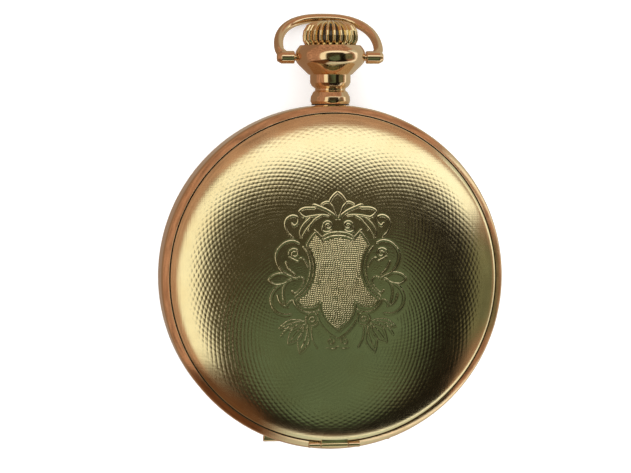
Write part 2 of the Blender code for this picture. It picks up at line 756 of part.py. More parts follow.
def cocks():
    body = plate([bar(BALANCE, 2.3, FOOT, 2.5), circle(0.95, BALANCE, 12)], 3.6, 4.3)
    foot = disc(2.2, 3.8, PLATE_LOW - GAP, FOOT, 16)
    body = cut(joined(body, foot), disc(0.55, 3, 6.6, FOOT, 10))
    part(body, "balance_cock", "nickel")
    ring = [polar(1.75, a, BALANCE) for a in range(-35, 300, 24)]
    pointer = [polar(5.2, a, BALANCE) for a in (282, 286)]
    lever = plate([ring + pointer, circle(1.05, BALANCE, 12)], 3.32, 3.52)
    part(lever, "regulator", "steel", (*BALANCE, 3.4))
    pallet = pallet_centre()
    foot_at = pallet_foot()
    body = plate([bar(pallet, 0.9, foot_at, 1.3), circle(ARBOR_HOLE_R, pallet, 8)], 5.5, 6.0)
    body = cut(joined(body, disc(1.25, 5.6, PLATE_LOW - GAP, foot_at, 12)), disc(0.45, 5, 7, foot_at, 10))
    part(body, "pallet_bridge", "nickel")


def screws():
    for name, (x, y) in SCREWS.items():
        slotted_screw(name, (x, y), BRIDGE_LOW - GAP, 1.0, 0.5, 6.6)
    slotted_screw("balance_cock_screw", FOOT, 3.6 - GAP, 1.0, 0.5, 6.2)
    slotted_screw("pallet_bridge_screw", pallet_foot(), 5.5 - GAP, 0.75, 0.4, 6.8)


def slotted_screw(name, centre, seat, head_r, shank_r, end):
    body = spindle([(shank_r, end), (shank_r, seat), (head_r, seat), (head_r, seat - 0.3)], 12, centre)
    x, y = centre
    slot = slab((x - 2, y - 0.12, seat - 0.5), (x + 2, y + 0.12, seat - 0.18))
    part(cut(body, slot), name, "blued_steel")


def jewels():
    for name, centre, r, z0, z1 in (
        ("jewel_centre", CENTRE, 1.1, BRIDGE_LOW - 0.1, 5.2),
        ("jewel_third", THIRD, 0.9, BRIDGE_LOW - 0.1, 5.2),
        ("jewel_fourth", FOURTH, 0.9, BRIDGE_LOW - 0.1, 5.2),
        ("jewel_escape", ESCAPE, 0.9, BRIDGE_LOW - 0.1, 5.2),
        ("jewel_balance", BALANCE, 0.9, 3.56, 4.25),
    ):
        part(washer(0.3, r, z0, z1, centre, 8), name, "ruby")


# ---------- power and train ----------

def barrel():
    size = module(CENTRE, BARREL, CENTRE_PINION, BARREL_TEETH)
    phase = mesh_phase(CENTRE_PINION, 0, direction(CENTRE, BARREL), BARREL_TEETH)
    outline = gear_outline(BARREL, BARREL_TEETH, size, phase)
    teeth = plate([outline, circle(0.7, BARREL, 12)], *BARREL_TEETH_Z)
    wall = washer(8.1, 8.5, 5.85, 7.2, BARREL, 24)
    part(joined(teeth, wall), "barrel", "brass", (*BARREL, 6.6))
    part(washer(0.7, 8.0, 5.88, 6.03, BARREL, 24), "barrel_cover", "brass", (*BARREL, 6))
    arbor = spindle([
        (BARREL_ARBOR_R, 4.2), (BARREL_ARBOR_R, 6.1), (1.4, 6.12), (1.4, 6.9), (BARREL_ARBOR_R, 6.92),
        (BARREL_ARBOR_R, 8.4),
    ], 12, BARREL)
    part(arbor, "barrel_arbor", "steel", (*BARREL, 6.6))
    spring = ribbon(spiral(BARREL, 2.0, 7.7, 4, 12), 6.15, 6.9, 0.18)
    part(spring, "mainspring", "blued_steel", (*BARREL, 6.6))


def centre_wheel():
    size = module(CENTRE, THIRD, CENTRE_TEETH, THIRD_PINION)
    wheel = gear(CENTRE, CENTRE_TEETH, size, 0, *CENTRE_WHEEL_Z, arms=5)
    arbor = spindle([(0.25, 4.5), (0.25, 5.35), (0.8, 5.45), (0.8, 6.6), (0.42, 6.65), (0.42, 10.8)], 10)
    size = module(CENTRE, BARREL, CENTRE_PINION, BARREL_TEETH)
    pinion = gear(CENTRE, CENTRE_PINION, size, 0, *CENTRE_PINION_Z)
    part(joined(arbor, wheel, pinion), "centre_wheel", "brass", (*CENTRE, 5.6))


def third_wheel():
    toward = direction(CENTRE, THIRD)
    phase = mesh_phase(CENTRE_TEETH, 0, toward, THIRD_PINION)
    size = module(CENTRE, THIRD, CENTRE_TEETH, THIRD_PINION)
    pinion = gear(THIRD, THIRD_PINION, size, phase, *THIRD_PINION_Z)
    size = module(THIRD, FOURTH, THIRD_TEETH, FOURTH_PINION)
    wheel = gear(THIRD, THIRD_TEETH, size, 0, *THIRD_WHEEL_Z, arms=4)
    arbor = spindle([(0.2, 4.5), (0.2, 5.43), (0.35, 5.44), (0.35, 7.3), (0.2, 7.35), (0.2, 8.2)], 12, THIRD)
    part(joined(arbor, pinion, wheel), "third_wheel", "brass", (*THIRD, 6.7))


def fourth_wheel():
    toward = direction(THIRD, FOURTH)
    phase = mesh_phase(THIRD_TEETH, 0, toward, FOURTH_PINION)
    size = module(THIRD, FOURTH, THIRD_TEETH, FOURTH_PINION)
    pinion = gear(FOURTH, FOURTH_PINION, size, phase, *FOURTH_PINION_Z)
    size = module(FOURTH, ESCAPE, FOURTH_TEETH, ESCAPE_PINION)
    wheel = gear(FOURTH, FOURTH_TEETH, size, 0, *FOURTH_WHEEL_Z, arms=4)
    arbor = spindle([(0.2, 4.5), (0.2, 5.5), (0.32, 5.52), (0.32, 7.3), (0.2, 7.35), (0.2, 10.3)], 12,
                    FOURTH)
    part(joined(arbor, pinion, wheel), "fourth_wheel", "brass", (*FOURTH, 6.0))


def escape_wheel():
    toward = direction(FOURTH, ESCAPE)
    phase = mesh_phase(FOURTH_TEETH, 0, toward, ESCAPE_PINION)
    size = module(FOURTH, ESCAPE, FOURTH_TEETH, ESCAPE_PINION)
    pinion = gear(ESCAPE, ESCAPE_PINION, size, phase, *ESCAPE_PINION_Z)
    pitch = 360 / ESCAPE_TEETH
    outline = []
    for tooth in range(ESCAPE_TEETH):
        outline.append(polar(ESCAPE_R - 0.85, pitch * (tooth - 0.32), ESCAPE))
        outline.append(polar(ESCAPE_R - 0.1, pitch * (tooth - 0.02), ESCAPE))
        outline.append(polar(ESCAPE_R, pitch * (tooth + 0.12), ESCAPE))
        outline.append(polar(ESCAPE_R - 0.85, pitch * (tooth + 0.05), ESCAPE))
    wheel = plate([outline, *crossings(ESCAPE, 0.75, 2.0, 4, 0.18)], *ESCAPE_WHEEL_Z)
    arbor = spindle([(0.18, 4.5), (0.18, 5.5), (0.28, 5.52), (0.28, 7.3), (0.18, 7.35), (0.18, 8.2)], 12,
                    ESCAPE)
    hub = disc(0.9, 6.45, 6.9, ESCAPE, 12)
    part(joined(arbor, pinion, wheel, hub), "escape_wheel", "steel", (*ESCAPE, 6.6))


def pallet_fork():
    """Drawn with its stones towards the escape wheel along +X, then turned into place."""
    half = [(-4.3, 0.17), (-4.55, 0.2), (-4.6, 0.55), (-4.3, 0.6), (-3.9, 0.15), (-0.6, 0.2),
            (-0.5, 0.6), (-0.1, 2.3), (1.2, 2.3), (0.95, 1.65), (0.4, 1.45), (0.35, 0.6)]
    outline = [(-4.3, 0.0), *half, *[(x, -y) for x, y in half[::-1]]]
    pallet = pallet_centre()
    turn = Matrix.Rotation(direction(pallet, ESCAPE), 2)
    placed = [tuple(turn @ Vector(p) + Vector(pallet)) for p in outline]
    fork = plate([placed], 6.45, 6.75)
    arbor = spindle([(0.18, 5.55), (0.18, 6.05), (0.35, 6.08), (0.35, 7.3), (0.18, 7.35), (0.18, 8.2)], 12,
                    pallet)
    part(joined(fork, arbor), "pallet_fork", "steel", (*pallet, 6.6))


def balance():
    rim = washer(BALANCE_R - 0.55, BALANCE_R, 4.72, 5.22, BALANCE, 24)
    arm = slab((BALANCE[0] - 5.8, BALANCE[1] - 0.35, 4.85), (BALANCE[0] + 5.8, BALANCE[1] + 0.35, 5.1))
    staff = spindle([
        (0.2, 3.7), (0.2, 4.25), (0.45, 4.35), (0.6, 4.8), (0.6, 5.2), (0.3, 5.3), (0.3, 5.93),
        (1.25, 5.95), (1.25, 6.12), (0.3, 6.14), (0.3, 7.2), (0.18, 7.3), (0.18, 8.2),
    ], 10, BALANCE)
    facing = math.degrees(direction(BALANCE, pallet_centre()))
    wheel = joined(staff, arm, rim, disc(0.13, 6.0, 6.4, polar(0.95, facing, BALANCE), 8))
    for number in range(8):
        peg = along_x(0.22, BALANCE_R - 0.2, BALANCE_R + 0.5, 0, 4.97, 6)
        turned(peg, "Z", (number + 0.5) * TAU / 8)
        peg.data.transform(Matrix.Translation(Vector((*BALANCE, 0)) * MM))
        wheel = joined(wheel, peg)
    part(wheel, "balance_wheel", "brass", (*BALANCE, 5))
    spring = ribbon(spiral(BALANCE, 0.75, 3.0, 4, 12), 4.4, 4.58, 0.08)
    part(spring, "hairspring", "blued_steel", (*BALANCE, 4.5))


# ---------- dial side ----------

def motion_work():
    size = module(CENTRE, MINUTE, CANNON_TEETH, MINUTE_TEETH)
    cannon = gear(CENTRE, CANNON_TEETH, size, 0, 8.95, 9.12)
    pipe = disc(0.66, 9.0, 11.0, CENTRE, 16)
    cannon = cut(joined(cannon, pipe), disc(0.47, 8, 12, CENTRE, 16))
    part(cannon, "cannon_pinion", "steel", (0, 0, 9))
    toward = direction(CENTRE, MINUTE)
    phase = mesh_phase(CANNON_TEETH, 0, toward, MINUTE_TEETH)
    wheel = gear(MINUTE, MINUTE_TEETH, size, phase, 8.96, 9.1)
    size = module(CENTRE, MINUTE, MINUTE_PINION, HOUR_TEETH)
    pinion = gear(MINUTE, MINUTE_PINION, size, 0, 9.05, 9.4)
    part(joined(wheel, pinion, disc(0.28, 8.2, 9.2, MINUTE, 10)), "minute_wheel", "brass", (*MINUTE, 9))
    phase = mesh_phase(MINUTE_PINION, 0, toward + math.pi, HOUR_TEETH)
    wheel = gear(CENTRE, HOUR_TEETH, size, phase, 9.2, 9.38)
    wheel = cut(joined(wheel, disc(0.95, 9.25, 10.55, CENTRE, 16)), disc(0.72, 9, 11, CENTRE, 16))
    part(wheel, "hour_wheel", "brass", (0, 0, 9.3))


def dial():
    outlines = [circle(DIAL_R, count=STEPS), circle(1.1, CENTRE, 16), circle(0.5, FOURTH, 12)]
    body = cut(plate(outlines, DIAL_LOW, DIAL_HIGH), washer(0.6, 4.4, 9.85, 10.5, FOURTH, 24))
    part(body, "dial", "enamel")


def hand(centre, heading, length, width, tail, hub, bore, z0, z1):
    """A hand with a leaf that swells two thirds of the way out."""
    half = math.asin(0.12 / hub)
    upper = [(length * 0.5, 0.16), (length * 0.68, width), (length * 0.86, 0.2), (length, 0.04)]
    if tail:
        side = circle(hub, (0, 0), 6, half, math.pi - 2 * half) + [(-tail, 0.3)]
    else:
        side = circle(hub, (0, 0), 7, half, math.pi - 1.2 * half)
    outline = side[::-1] + upper + [(x, -y) for x, y in upper[::-1]] + [(x, -y) for x, y in side]
    turn = Matrix.Rotation(heading, 2)
    placed = [tuple(turn @ Vector(p) + Vector(centre)) for p in outline]
    return plate([placed, circle(bore, centre, 12)], z0, z1)


def hands():
    """Twelve o'clock is at -X and three at the pendant; the hands show ten past ten."""
    hour = hand(CENTRE, math.radians(235), 11.5, 1.2, 0, 1.7, 1.0, 10.3, 10.45)
    part(hour, "hour_hand", "blued_steel", (0, 0, 10.4))
    minute = hand(CENTRE, math.radians(120), 16.5, 0.9, 0, 1.4, 0.71, 10.7, 10.85)
    part(minute, "minute_hand", "blued_steel", (0, 0, 10.8))
    seconds = hand(FOURTH, math.radians(180), 3.6, 0.2, 1.2, 0.5, 0.25, 10.06, 10.14)
    part(seconds, "seconds_hand", "blued_steel", (*FOURTH, 10.1))


def main():
    case_center()
    front_cover()
    back_cover()
    cuvette()
    hinge_pins()
    bezel_and_crystal()
    case_springs()
    pendant()
    bow()
    crown()
    winding_work()
    main_plate()
    barrel_bridge()
    train_bridge()
    cocks()
    screws()
    jewels()
    barrel()
    centre_wheel()
    third_wheel()
    fourth_wheel()
    escape_wheel()
    pallet_fork()
    balance()
    motion_work()
    dial()
    hands()


main()
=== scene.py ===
"""Hunter pocket watch: the visible pieces, their materials, the light and the camera.

Lengths are millimetres until a mesh is made. The dial faces +Z and the pendant points at +Y.
"""

import math

import bmesh
import bpy
import numpy as np
from mathutils import Matrix, Vector, kdtree

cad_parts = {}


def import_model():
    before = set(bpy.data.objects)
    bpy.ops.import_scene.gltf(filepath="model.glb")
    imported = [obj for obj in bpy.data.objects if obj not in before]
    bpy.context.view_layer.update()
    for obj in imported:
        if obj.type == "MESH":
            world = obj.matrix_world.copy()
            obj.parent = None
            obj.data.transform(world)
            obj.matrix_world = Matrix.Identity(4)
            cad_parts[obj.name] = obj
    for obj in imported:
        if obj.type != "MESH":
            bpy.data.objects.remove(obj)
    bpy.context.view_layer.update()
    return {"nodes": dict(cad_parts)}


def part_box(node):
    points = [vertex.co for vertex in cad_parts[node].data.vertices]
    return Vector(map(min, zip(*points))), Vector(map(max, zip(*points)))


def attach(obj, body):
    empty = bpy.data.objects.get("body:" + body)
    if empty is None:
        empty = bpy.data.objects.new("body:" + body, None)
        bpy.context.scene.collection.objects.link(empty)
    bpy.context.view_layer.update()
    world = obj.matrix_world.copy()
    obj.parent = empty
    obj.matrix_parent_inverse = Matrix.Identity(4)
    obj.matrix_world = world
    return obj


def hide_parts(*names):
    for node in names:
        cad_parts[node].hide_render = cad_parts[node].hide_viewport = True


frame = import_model()

MM = 0.001
TAU = 2 * math.pi
SIDES = ((-1, "left"), (1, "right"))


# ---------- sizes read from the frame ----------

def corners(node):
    """Lowest and highest corner of a CAD node, in millimetres."""
    low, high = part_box(node)
    return low / MM, high / MM


def halfway(node, axis):
    """Middle of a CAD node along one axis, in millimetres."""
    low, high = corners(node)
    return (low[axis] + high[axis]) / 2


COVER_R = corners("front_cover")[1].x
COVER_TOP = corners("front_cover")[1].z
SEAT = 11.5
RISE = COVER_TOP - SEAT
WALL = 0.5
CASE_R = corners("case_center")[1].x
HINGE_Y = halfway("front_hinge_pin", 1)
FRONT_HINGE_Z = halfway("front_hinge_pin", 2)
BACK_HINGE_Z = halfway("back_hinge_pin", 2)
STEM_Z = halfway("stem", 2)
KNUCKLE_R = 0.44


# ---------- mesh helpers ----------

ON_AXIS = 1e-6
LONGEST_CUT = 0.48
NEARLY_STRAIGHT = 1.54
TOO_SMALL = 1e-4


def rounded(points, radius, steps=4, closed=True):
    """Turns each corner into an arc; a point's own third value is its radius."""
    made = []
    count = len(points)
    for i, point in enumerate(points):
        here = Vector(point[:2])
        if not closed and i in (0, count - 1):
            made.append(tuple(here))
            continue
        before = Vector(points[i - 1][:2]) - here
        after = Vector(points[(i + 1) % count][:2]) - here
        half = before.angle(after) / 2
        size = point[2] if len(point) > 2 else radius
        back = min(size / math.tan(half), LONGEST_CUT * before.length, LONGEST_CUT * after.length)
        if back < TOO_SMALL or half > NEARLY_STRAIGHT:
            made.append(tuple(here))
            continue
        start = here + before.normalized() * back
        end = here + after.normalized() * back
        for step in range(steps + 1):
            t = step / steps
            made.append(tuple(start * (1 - t) ** 2 + here * 2 * t * (1 - t) + end * t * t))
    return made


def between(a, count_a, b, count_b):
    """Faces between two rings of vertices, which may differ by a factor of two or be one point."""
    if count_a == count_b == 1:
        return []
    if count_a == count_b:
        return [(a + i, a + (i + 1) % count_a, b + (i + 1) % count_b, b + i) for i in range(count_a)]
    if count_a == 1:
        return [(a, b + (i + 1) % count_b, b + i) for i in range(count_b)]
    if count_a < count_b:
        return [face[::-1] for face in between(b, count_b, a, count_a)]
    if count_b == 1:
        return [(b, a + i, a + (i + 1) % count_a) for i in range(count_a)]
    faces = []
    for i in range(count_b):
        left, middle, right = a + 2 * i, a + 2 * i + 1, a + (2 * i + 2) % count_a
        low, high = b + i, b + (i + 1) % count_b
        faces += [(left, middle, low), (middle, high, low), (middle, right, high)]
    return faces


def skin(name, rings, loop=False, sharp=35):
    """A smooth mesh over rings of points."""
    counts = [len(ring) for ring in rings]
    starts = np.concatenate([[0], np.cumsum(counts)]).astype(int)
    faces = []
    for i in range(len(rings) - 1 + int(loop)):
        j = (i + 1) % len(rings)
        faces += between(starts[i], counts[i], starts[j], counts[j])
    return solid(name, np.vstack(rings), faces, sharp)


def linked(name, data):
    obj = bpy.data.objects.new(name, data)
    bpy.context.scene.collection.objects.link(obj)
    return obj


def finished(name, mesh, built, sharp):
    """Shows what was built, smooth but creased at more than the sharp angle."""
    built.to_mesh(mesh)
    built.free()
    mesh.shade_smooth()
    mesh.set_sharp_from_angle(angle=math.radians(sharp))
    return linked(name, mesh)


def solid(name, points, faces, sharp=35):
    mesh = bpy.data.meshes.new(name)
    mesh.from_pydata([tuple(p) for p in np.asarray(points) * MM], [], faces)
    built = bmesh.new()
    built.from_mesh(mesh)
    bmesh.ops.recalc_face_normals(built, faces=built.faces)
    return finished(name, mesh, built, sharp)


def ring(r, z, count):
    """A level circle of points, or its one point where it has no radius."""
    if r < ON_AXIS:
        return np.array([[0.0, 0.0, z]])
    angles = np.arange(count) * TAU / count
    return np.column_stack([r * np.cos(angles), r * np.sin(angles), np.full(count, z)])


def lathe(name, profile, count=192, sharp=35):
    """Turns a profile of (radius, height) about the upright axis."""
    hollow = profile[0][0] >= ON_AXIS
    return skin(name, [ring(r, z, count) for r, z in profile], loop=hollow, sharp=sharp)


def moved(obj, x=0.0, y=0.0, z=0.0):
    obj.data.transform(Matrix.Translation(Vector((x, y, z)) * MM))
    return obj


def laid_along_y(obj):
    """Lays an upright turned piece along +Y at the height of the stem."""
    obj.data.transform(Matrix.Rotation(-math.pi / 2, 4, "X"))
    return moved(obj, z=STEM_Z)


def laid_along_x(obj, y, z):
    obj.data.transform(Matrix.Rotation(math.pi / 2, 4, "Y"))
    return moved(obj, y=y, z=z)


def piece(obj, material, body, slot, *nodes):
    """Finishes a piece: its material, the body it moves with and the CAD nodes it stands for."""
    obj.data.materials.clear()
    obj.data.materials.append(material)
    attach(obj, body)
    if nodes:
        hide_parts(*nodes)
    return obj


# ---------- materials ----------

def add(tree, kind, inputs=None, **settings):
    """A shader node; an input is a value or the socket that feeds it."""
    node = tree.nodes.new(kind)
    for name, value in settings.items():
        setattr(node, name, value)
    for key, value in (inputs or {}).items():
        if isinstance(value, bpy.types.NodeSocket):
            tree.links.new(value, node.inputs[key])
        else:
            node.inputs[key].default_value = value
    return node


def maths(tree, operation, *values):
    """The socket of a sum, product or the like of numbers and sockets."""
    return add(tree, "ShaderNodeMath", dict(enumerate(values)), operation=operation).outputs[0]


def product(tree, first, second):
    return maths(tree, "MULTIPLY", first, second)


def inverse(tree, mask):
    return maths(tree, "SUBTRACT", 1.0, mask)


def started(name, colour, metallic, roughness):
    material = bpy.data.materials.new(name)
    material.use_nodes = True
    tree = material.node_tree
    shader = tree.nodes["Principled BSDF"]
    shader.inputs["Base Color"].default_value = (*colour, 1)
    shader.inputs["Metallic"].default_value = metallic
    shader.inputs["Roughness"].default_value = roughness
    return material, tree, shader


def noise_at(tree, scale, stretch=(1, 1, 1), turn=0.0, detail=3.0):
    """Noise over the object's own coordinates, in features per metre."""
    place = add(tree, "ShaderNodeTexCoord").outputs["Object"]
    spread = add(tree, "ShaderNodeMapping", {"Vector": place, "Scale": stretch, "Rotation": (0, 0, turn)})
    settings = {"Vector": spread.outputs["Vector"], "Scale": scale, "Detail": detail, "Roughness": 0.6}
    return add(tree, "ShaderNodeTexNoise", settings).outputs["Fac"]


def ramp(tree, factor, low, high, out_low, out_high):
    """Spreads a factor's range between low and high over another range."""
    node = add(tree, "ShaderNodeMapRange", {
        "Value": factor, "From Min": low, "From Max": high, "To Min": out_low, "To Max": out_high,
    })
    return node.outputs["Result"]


def feed(tree, shader, colour, roughness, normal):
    for name, socket in (("Base Color", colour), ("Roughness", roughness), ("Normal", normal)):
        tree.links.new(socket, shader.inputs[name])


def blend(tree, factor, first, second):
    """A mix of two colours or sockets."""
    node = add(tree, "ShaderNodeMix", data_type="RGBA")
    tree.links.new(factor, node.inputs["Factor"])
    colours = [s for s in node.inputs if s.type == "RGBA"]
    for socket, value in zip(colours, (first, second)):
        if isinstance(value, bpy.types.NodeSocket):
            tree.links.new(value, socket)
        else:
            socket.default_value = (*value, 1)
    return next(s for s in node.outputs if s.type == "RGBA")


def bump(tree, height, strength, depth, under=None):
    """Normals of a relief this many millimetres deep, over earlier normals if given."""
    inputs = {"Height": height, "Strength": strength, "Distance": depth * MM}
    if under is not None:
        inputs["Normal"] = under
    return add(tree, "ShaderNodeBump", inputs).outputs["Normal"]


def sawtooth(tree, width, turn=0.7):
    """Slanting stripes this many metres wide that rise slowly and fall at once."""
    place = add(tree, "ShaderNodeTexCoord").outputs["Object"]
    turned = add(tree, "ShaderNodeMapping", {"Vector": place, "Rotation": (0, 0, turn)}).outputs["Vector"]
    settings = {"Vector": turned, "Scale": 0.314 / width, "Distortion": 0.2}
    return add(tree, "ShaderNodeTexWave", settings, wave_profile="SAW").outputs["Fac"]


def metal(name, colour, worn, roughness, spread=0.06, scratch=0.15, grain=None, stripes=None):
    """Metal with tarnish, uneven polish and hair scratches, and perhaps a grain or stripes."""
    material, tree, shader = started(name, colour, 1, roughness)
    tarnish = ramp(tree, noise_at(tree, 160), 0.42, 0.72, 0, 1)
    smoothest = max(0.02, roughness - spread)
    polish = ramp(tree, noise_at(tree, 900, detail=5), 0.3, 0.75, smoothest, roughness + spread)
    hair = noise_at(tree, 90, (1, 60, 1), 0.5, 2)
    other = noise_at(tree, 90, (60, 1, 1), 0.3, 2)
    marks = maths(tree, "ADD", hair, other)
    if grain:
        marks = maths(tree, "ADD", marks, noise_at(tree, grain, detail=1))
    normal = bump(tree, marks, scratch, 0.02)
    if stripes:
        normal = bump(tree, sawtooth(tree, stripes), 0.25, 0.08, normal)
    feed(tree, shader, blend(tree, tarnish, colour, worn), polish, normal)
    return material


def enamel(name, colour, aged):
    """Fired enamel: glossy, faintly uneven and slightly aged in places."""
    material, tree, shader = started(name, colour, 0, 0.12)
    stain = ramp(tree, noise_at(tree, 120), 0.5, 0.8, 0, 1)
    gloss = ramp(tree, noise_at(tree, 700), 0.3, 0.8, 0.08, 0.2)
    feed(tree, shader, blend(tree, stain, colour, aged), gloss, bump(tree, noise_at(tree, 300), 0.05, 0.05))
    return material


def glass(name, colour):
    """Clear stone or glass with faint smears and hair scratches."""
    material, tree, shader = started(name, colour, 0, 0.02)
    shader.inputs["Transmission Weight"].default_value = 1
    shader.inputs["IOR"].default_value = 1.5
    cloud = ramp(tree, noise_at(tree, 150), 0.4, 0.8, 0, 1)
    shade = tuple(0.96 * c for c in colour)
    smears = ramp(tree, noise_at(tree, 500, detail=5), 0.5, 0.8, 0.01, 0.06)
    hair = bump(tree, noise_at(tree, 80, (1, 50, 1), 0.4), 0.03, 0.01)
    feed(tree, shader, blend(tree, cloud, colour, shade), smears, hair)
    return material


# ---------- front cover ----------

WAVES = 96
BARLEY = 0.637
CUT_DEPTH = 0.007
CUTS = 8
STEPS_IN_CUT = 8
TURNED_OUT_TO = 22.75
TURNED_BORDER = 1.6
CARTOUCHE_R = 13.6
MEDALLION_R = 12.6
RING_R = MEDALLION_R + CUTS * BARLEY
RING_GAP = 0.074
FINE = 768
COARSE = 24
RIDGE = 0.015
FURROW = 0.013
PEBBLE = 0.046


def smooth(value, low, high):
    """Rises from nothing at low to one at high."""
    t = np.clip((value - low) / (high - low), 0, 1)
    return t * t * (3 - 2 * t)


def dome(r, edge=COVER_R, rise=RISE):
    """Height of a cover that is flat in the middle and falls steeply at its edge."""
    return SEAT + rise * np.clip(1 - (r / edge) ** 2.4, 0, 1) ** 0.75


def engine_turning(x, y):
    """Barleycorn cut: two families of curved grooves leave pillows between them."""
    r = np.hypot(x, y)
    around = WAVES * np.arctan2(y, x) / 2
    outward = math.pi * r / BARLEY
    fade = 1 - smooth(r, TURNED_OUT_TO - TURNED_BORDER, TURNED_OUT_TO)
    grooves = np.abs(np.sin(around + outward)) + np.abs(np.sin(around - outward)) - 1
    return CUT_DEPTH * fade * grooves


def through(points, spacing=0.03):
    """A smooth curve through the points, sampled every few hundredths of a millimetre."""
    points = [np.array(p, float) for p in points]
    padded = [2 * points[0] - points[1], *points, 2 * points[-1] - points[-2]]
    made = []
    for a, b, c, d in zip(padded, padded[1:], padded[2:], padded[3:]):
        count = max(2, int(np.linalg.norm(c - b) / spacing))
        t = (np.arange(count) / count)[:, None]
        made.append(0.5 * (
            2 * b + (c - a) * t + (2 * a - 5 * b + 4 * c - d) * t**2 + (3 * b - a - 3 * c + d) * t**3
        ))
    return np.vstack([*made, points[-1][None]])


def volute(centre, outer, start, turns, inner=0.18):
    """A scroll that winds in to its centre; start is in degrees and turns may be negative."""
    t = np.linspace(0, 1, max(12, int(abs(turns) * outer * TAU / 0.04)))
    r = outer + (inner - outer) * t**0.8
    angle = math.radians(start) + turns * TAU * t
    return np.column_stack([centre[0] + r * np.cos(angle), centre[1] + r * np.sin(angle)])


def leaf(base, tip, belly, vein=True):
    """Both edges of a pointed leaf and its vein."""
    base, tip = np.array(base, float), np.array(tip, float)
    along = tip - base
    side = np.array([-along[1], along[0]]) / np.linalg.norm(along)
    edges = []
    for sign in (-1, 1):
        bulge = base + along * 0.45 + side * sign * belly
        shoulder = base + along * 0.78 + side * sign * belly * 0.6
        edges.append(through([base, bulge, shoulder, tip]))
    if vein:
        edges.append(through([base + along * 0.15, base + along * 0.5 + side * belly * 0.12,
                              base + along * 0.8]))
    return edges


SHIELD = [
    (0, 6.4), (1.1, 6.25), (2.2, 5.8), (2.8, 6.5), (3.25, 6.9), (3.9, 6.2), (4.65, 5.0), (3.95, 3.7),
    (3.55, 2.0), (3.75, 0.2), (4.6, -1.5), (6.15, -2.95), (5.4, -3.85), (4.3, -4.1), (3.3, -3.9),
    (2.6, -3.35), (2.55, -4.4), (1.8, -6.0), (0, -7.65),
]


def shield_half():
    arch = through(SHIELD[:3])
    ear = through(SHIELD[2:7])
    waist = through(SHIELD[6:12])
    lobe = through(SHIELD[11:16])
    point = through(SHIELD[15:])
    return [arch, ear, waist, lobe, point]


def strokes(lines, *scrolls):
    """Curves through points, and scrolls, each with its half width."""
    made = [(through(points), width) for points, width in lines]
    return made + [(volute(*shape), width) for shape, width in scrolls]


def scrollwork():
    """Strokes of the right half of the cartouche, as (points, half width)."""
    return [(part, 0.12) for part in shield_half()] + crest() + side_scrolls() + foot()


def crest():
    """Lozenge flower, leaf sprays and curls above the shield."""
    lines = [
        ([(0, 12.8), (0.7, 12.2), (1.22, 11.3), (0.75, 10.6), (0.45, 9.8), (0.1, 9.0)], 0.11),
        ([(1.15, 11.2), (1.7, 11.35), (2.5, 10.95)], 0.09),
        ([(0.05, 8.85), (0.7, 9.55), (1.6, 10.15), (2.6, 10.6), (3.6, 10.98)], 0.14),
        ([(3.3, 10.5), (4.9, 10.44), (5.65, 9.95), (5.2, 9.35), (4.5, 9.0)], 0.11),
        ([(4.9, 9.1), (3.5, 9.35), (2.2, 9.45), (1.3, 9.3)], 0.08),
        ([(2.4, 9.4), (3.4, 8.8), (4.1, 7.8), (4.35, 7.2)], 0.1),
        ([(4.1, 9.0), (5.1, 8.0), (5.6, 6.9), (5.35, 6.1)], 0.1),
        ([(3.3, 8.9), (4.6, 7.4), (5.3, 6.2)], 0.08),
        ([(6.8, 8.3), (6.4, 7.9), (5.86, 8.35), (5.9, 9.1), (6.66, 9.35), (7.46, 8.9), (7.72, 8.0),
          (7.3, 6.9), (6.57, 6.2)], 0.12),
        ([(2.23, 7.85), (2.3, 7.2), (1.8, 6.95), (1.1, 7.05)], 0.1),
        ([(0, 6.95), (1.2, 6.8), (2.2, 6.35)], 0.09),
        ([(3.5, 7.3), (2.9, 6.7), (2.3, 6.1)], 0.12),
    ]
    return strokes(lines, (((1.45, 7.85), 0.78, 0, 1.5, 0.16), 0.12))


def side_scrolls():
    """Two scrolls one above the other beside the shield, with a leaf between them."""
    lines = [
        ([(5.7, 5.36), (6.66, 5.7), (7.8, 5.4), (8.75, 4.5), (9.1, 3.5), (8.85, 2.3), (8.1, 1.2), (7.0, 0.5),
          (6.1, 0.2)], 0.13),
        ([(7.2, 3.4), (6.5, 3.0), (5.9, 2.75), (5.5, 3.2), (4.9, 2.8), (4.4, 1.9)], 0.09),
        ([(7.7, 2.7), (7.2, 1.6), (6.3, 0.75)], 0.1),
        ([(5.2, 4.9), (4.4, 3.7), (4.05, 2.0), (4.3, 0.2), (5.05, -1.3), (6.3, -2.4)], 0.09),
        ([(10.2, 0.1), (9.3, 0.8), (8.1, 0.98), (6.7, 0.45)], 0.11),
        ([(10.2, 0.1), (9.3, -0.6), (8.1, -0.53), (7.0, 0)], 0.09),
        ([(8.26, -0.53), (9.2, -1.24), (9.82, -2.4), (9.7, -3.7), (9.0, -4.6), (7.9, -5.05),
          (6.8, -4.95)], 0.13),
        ([(6.66, 0.3), (7.5, -0.2), (8.05, -1.24), (8.05, -2.5), (7.75, -3.5), (7.3, -4.0)], 0.1),
        ([(8.9, -2.0), (8.6, -3.0), (7.8, -3.75), (7.2, -3.2), (6.8, -2.9)], 0.1),
        ([(6.2, 0.3), (5.4, 0.4), (5.0, -0.2), (5.5, -1.2), (6.3, -1.9), (6.8, -1.5)], 0.09),
    ]
    return strokes(lines, (((6.4, 3.85), 0.85, 0, 1.35, 0.2), 0.11))


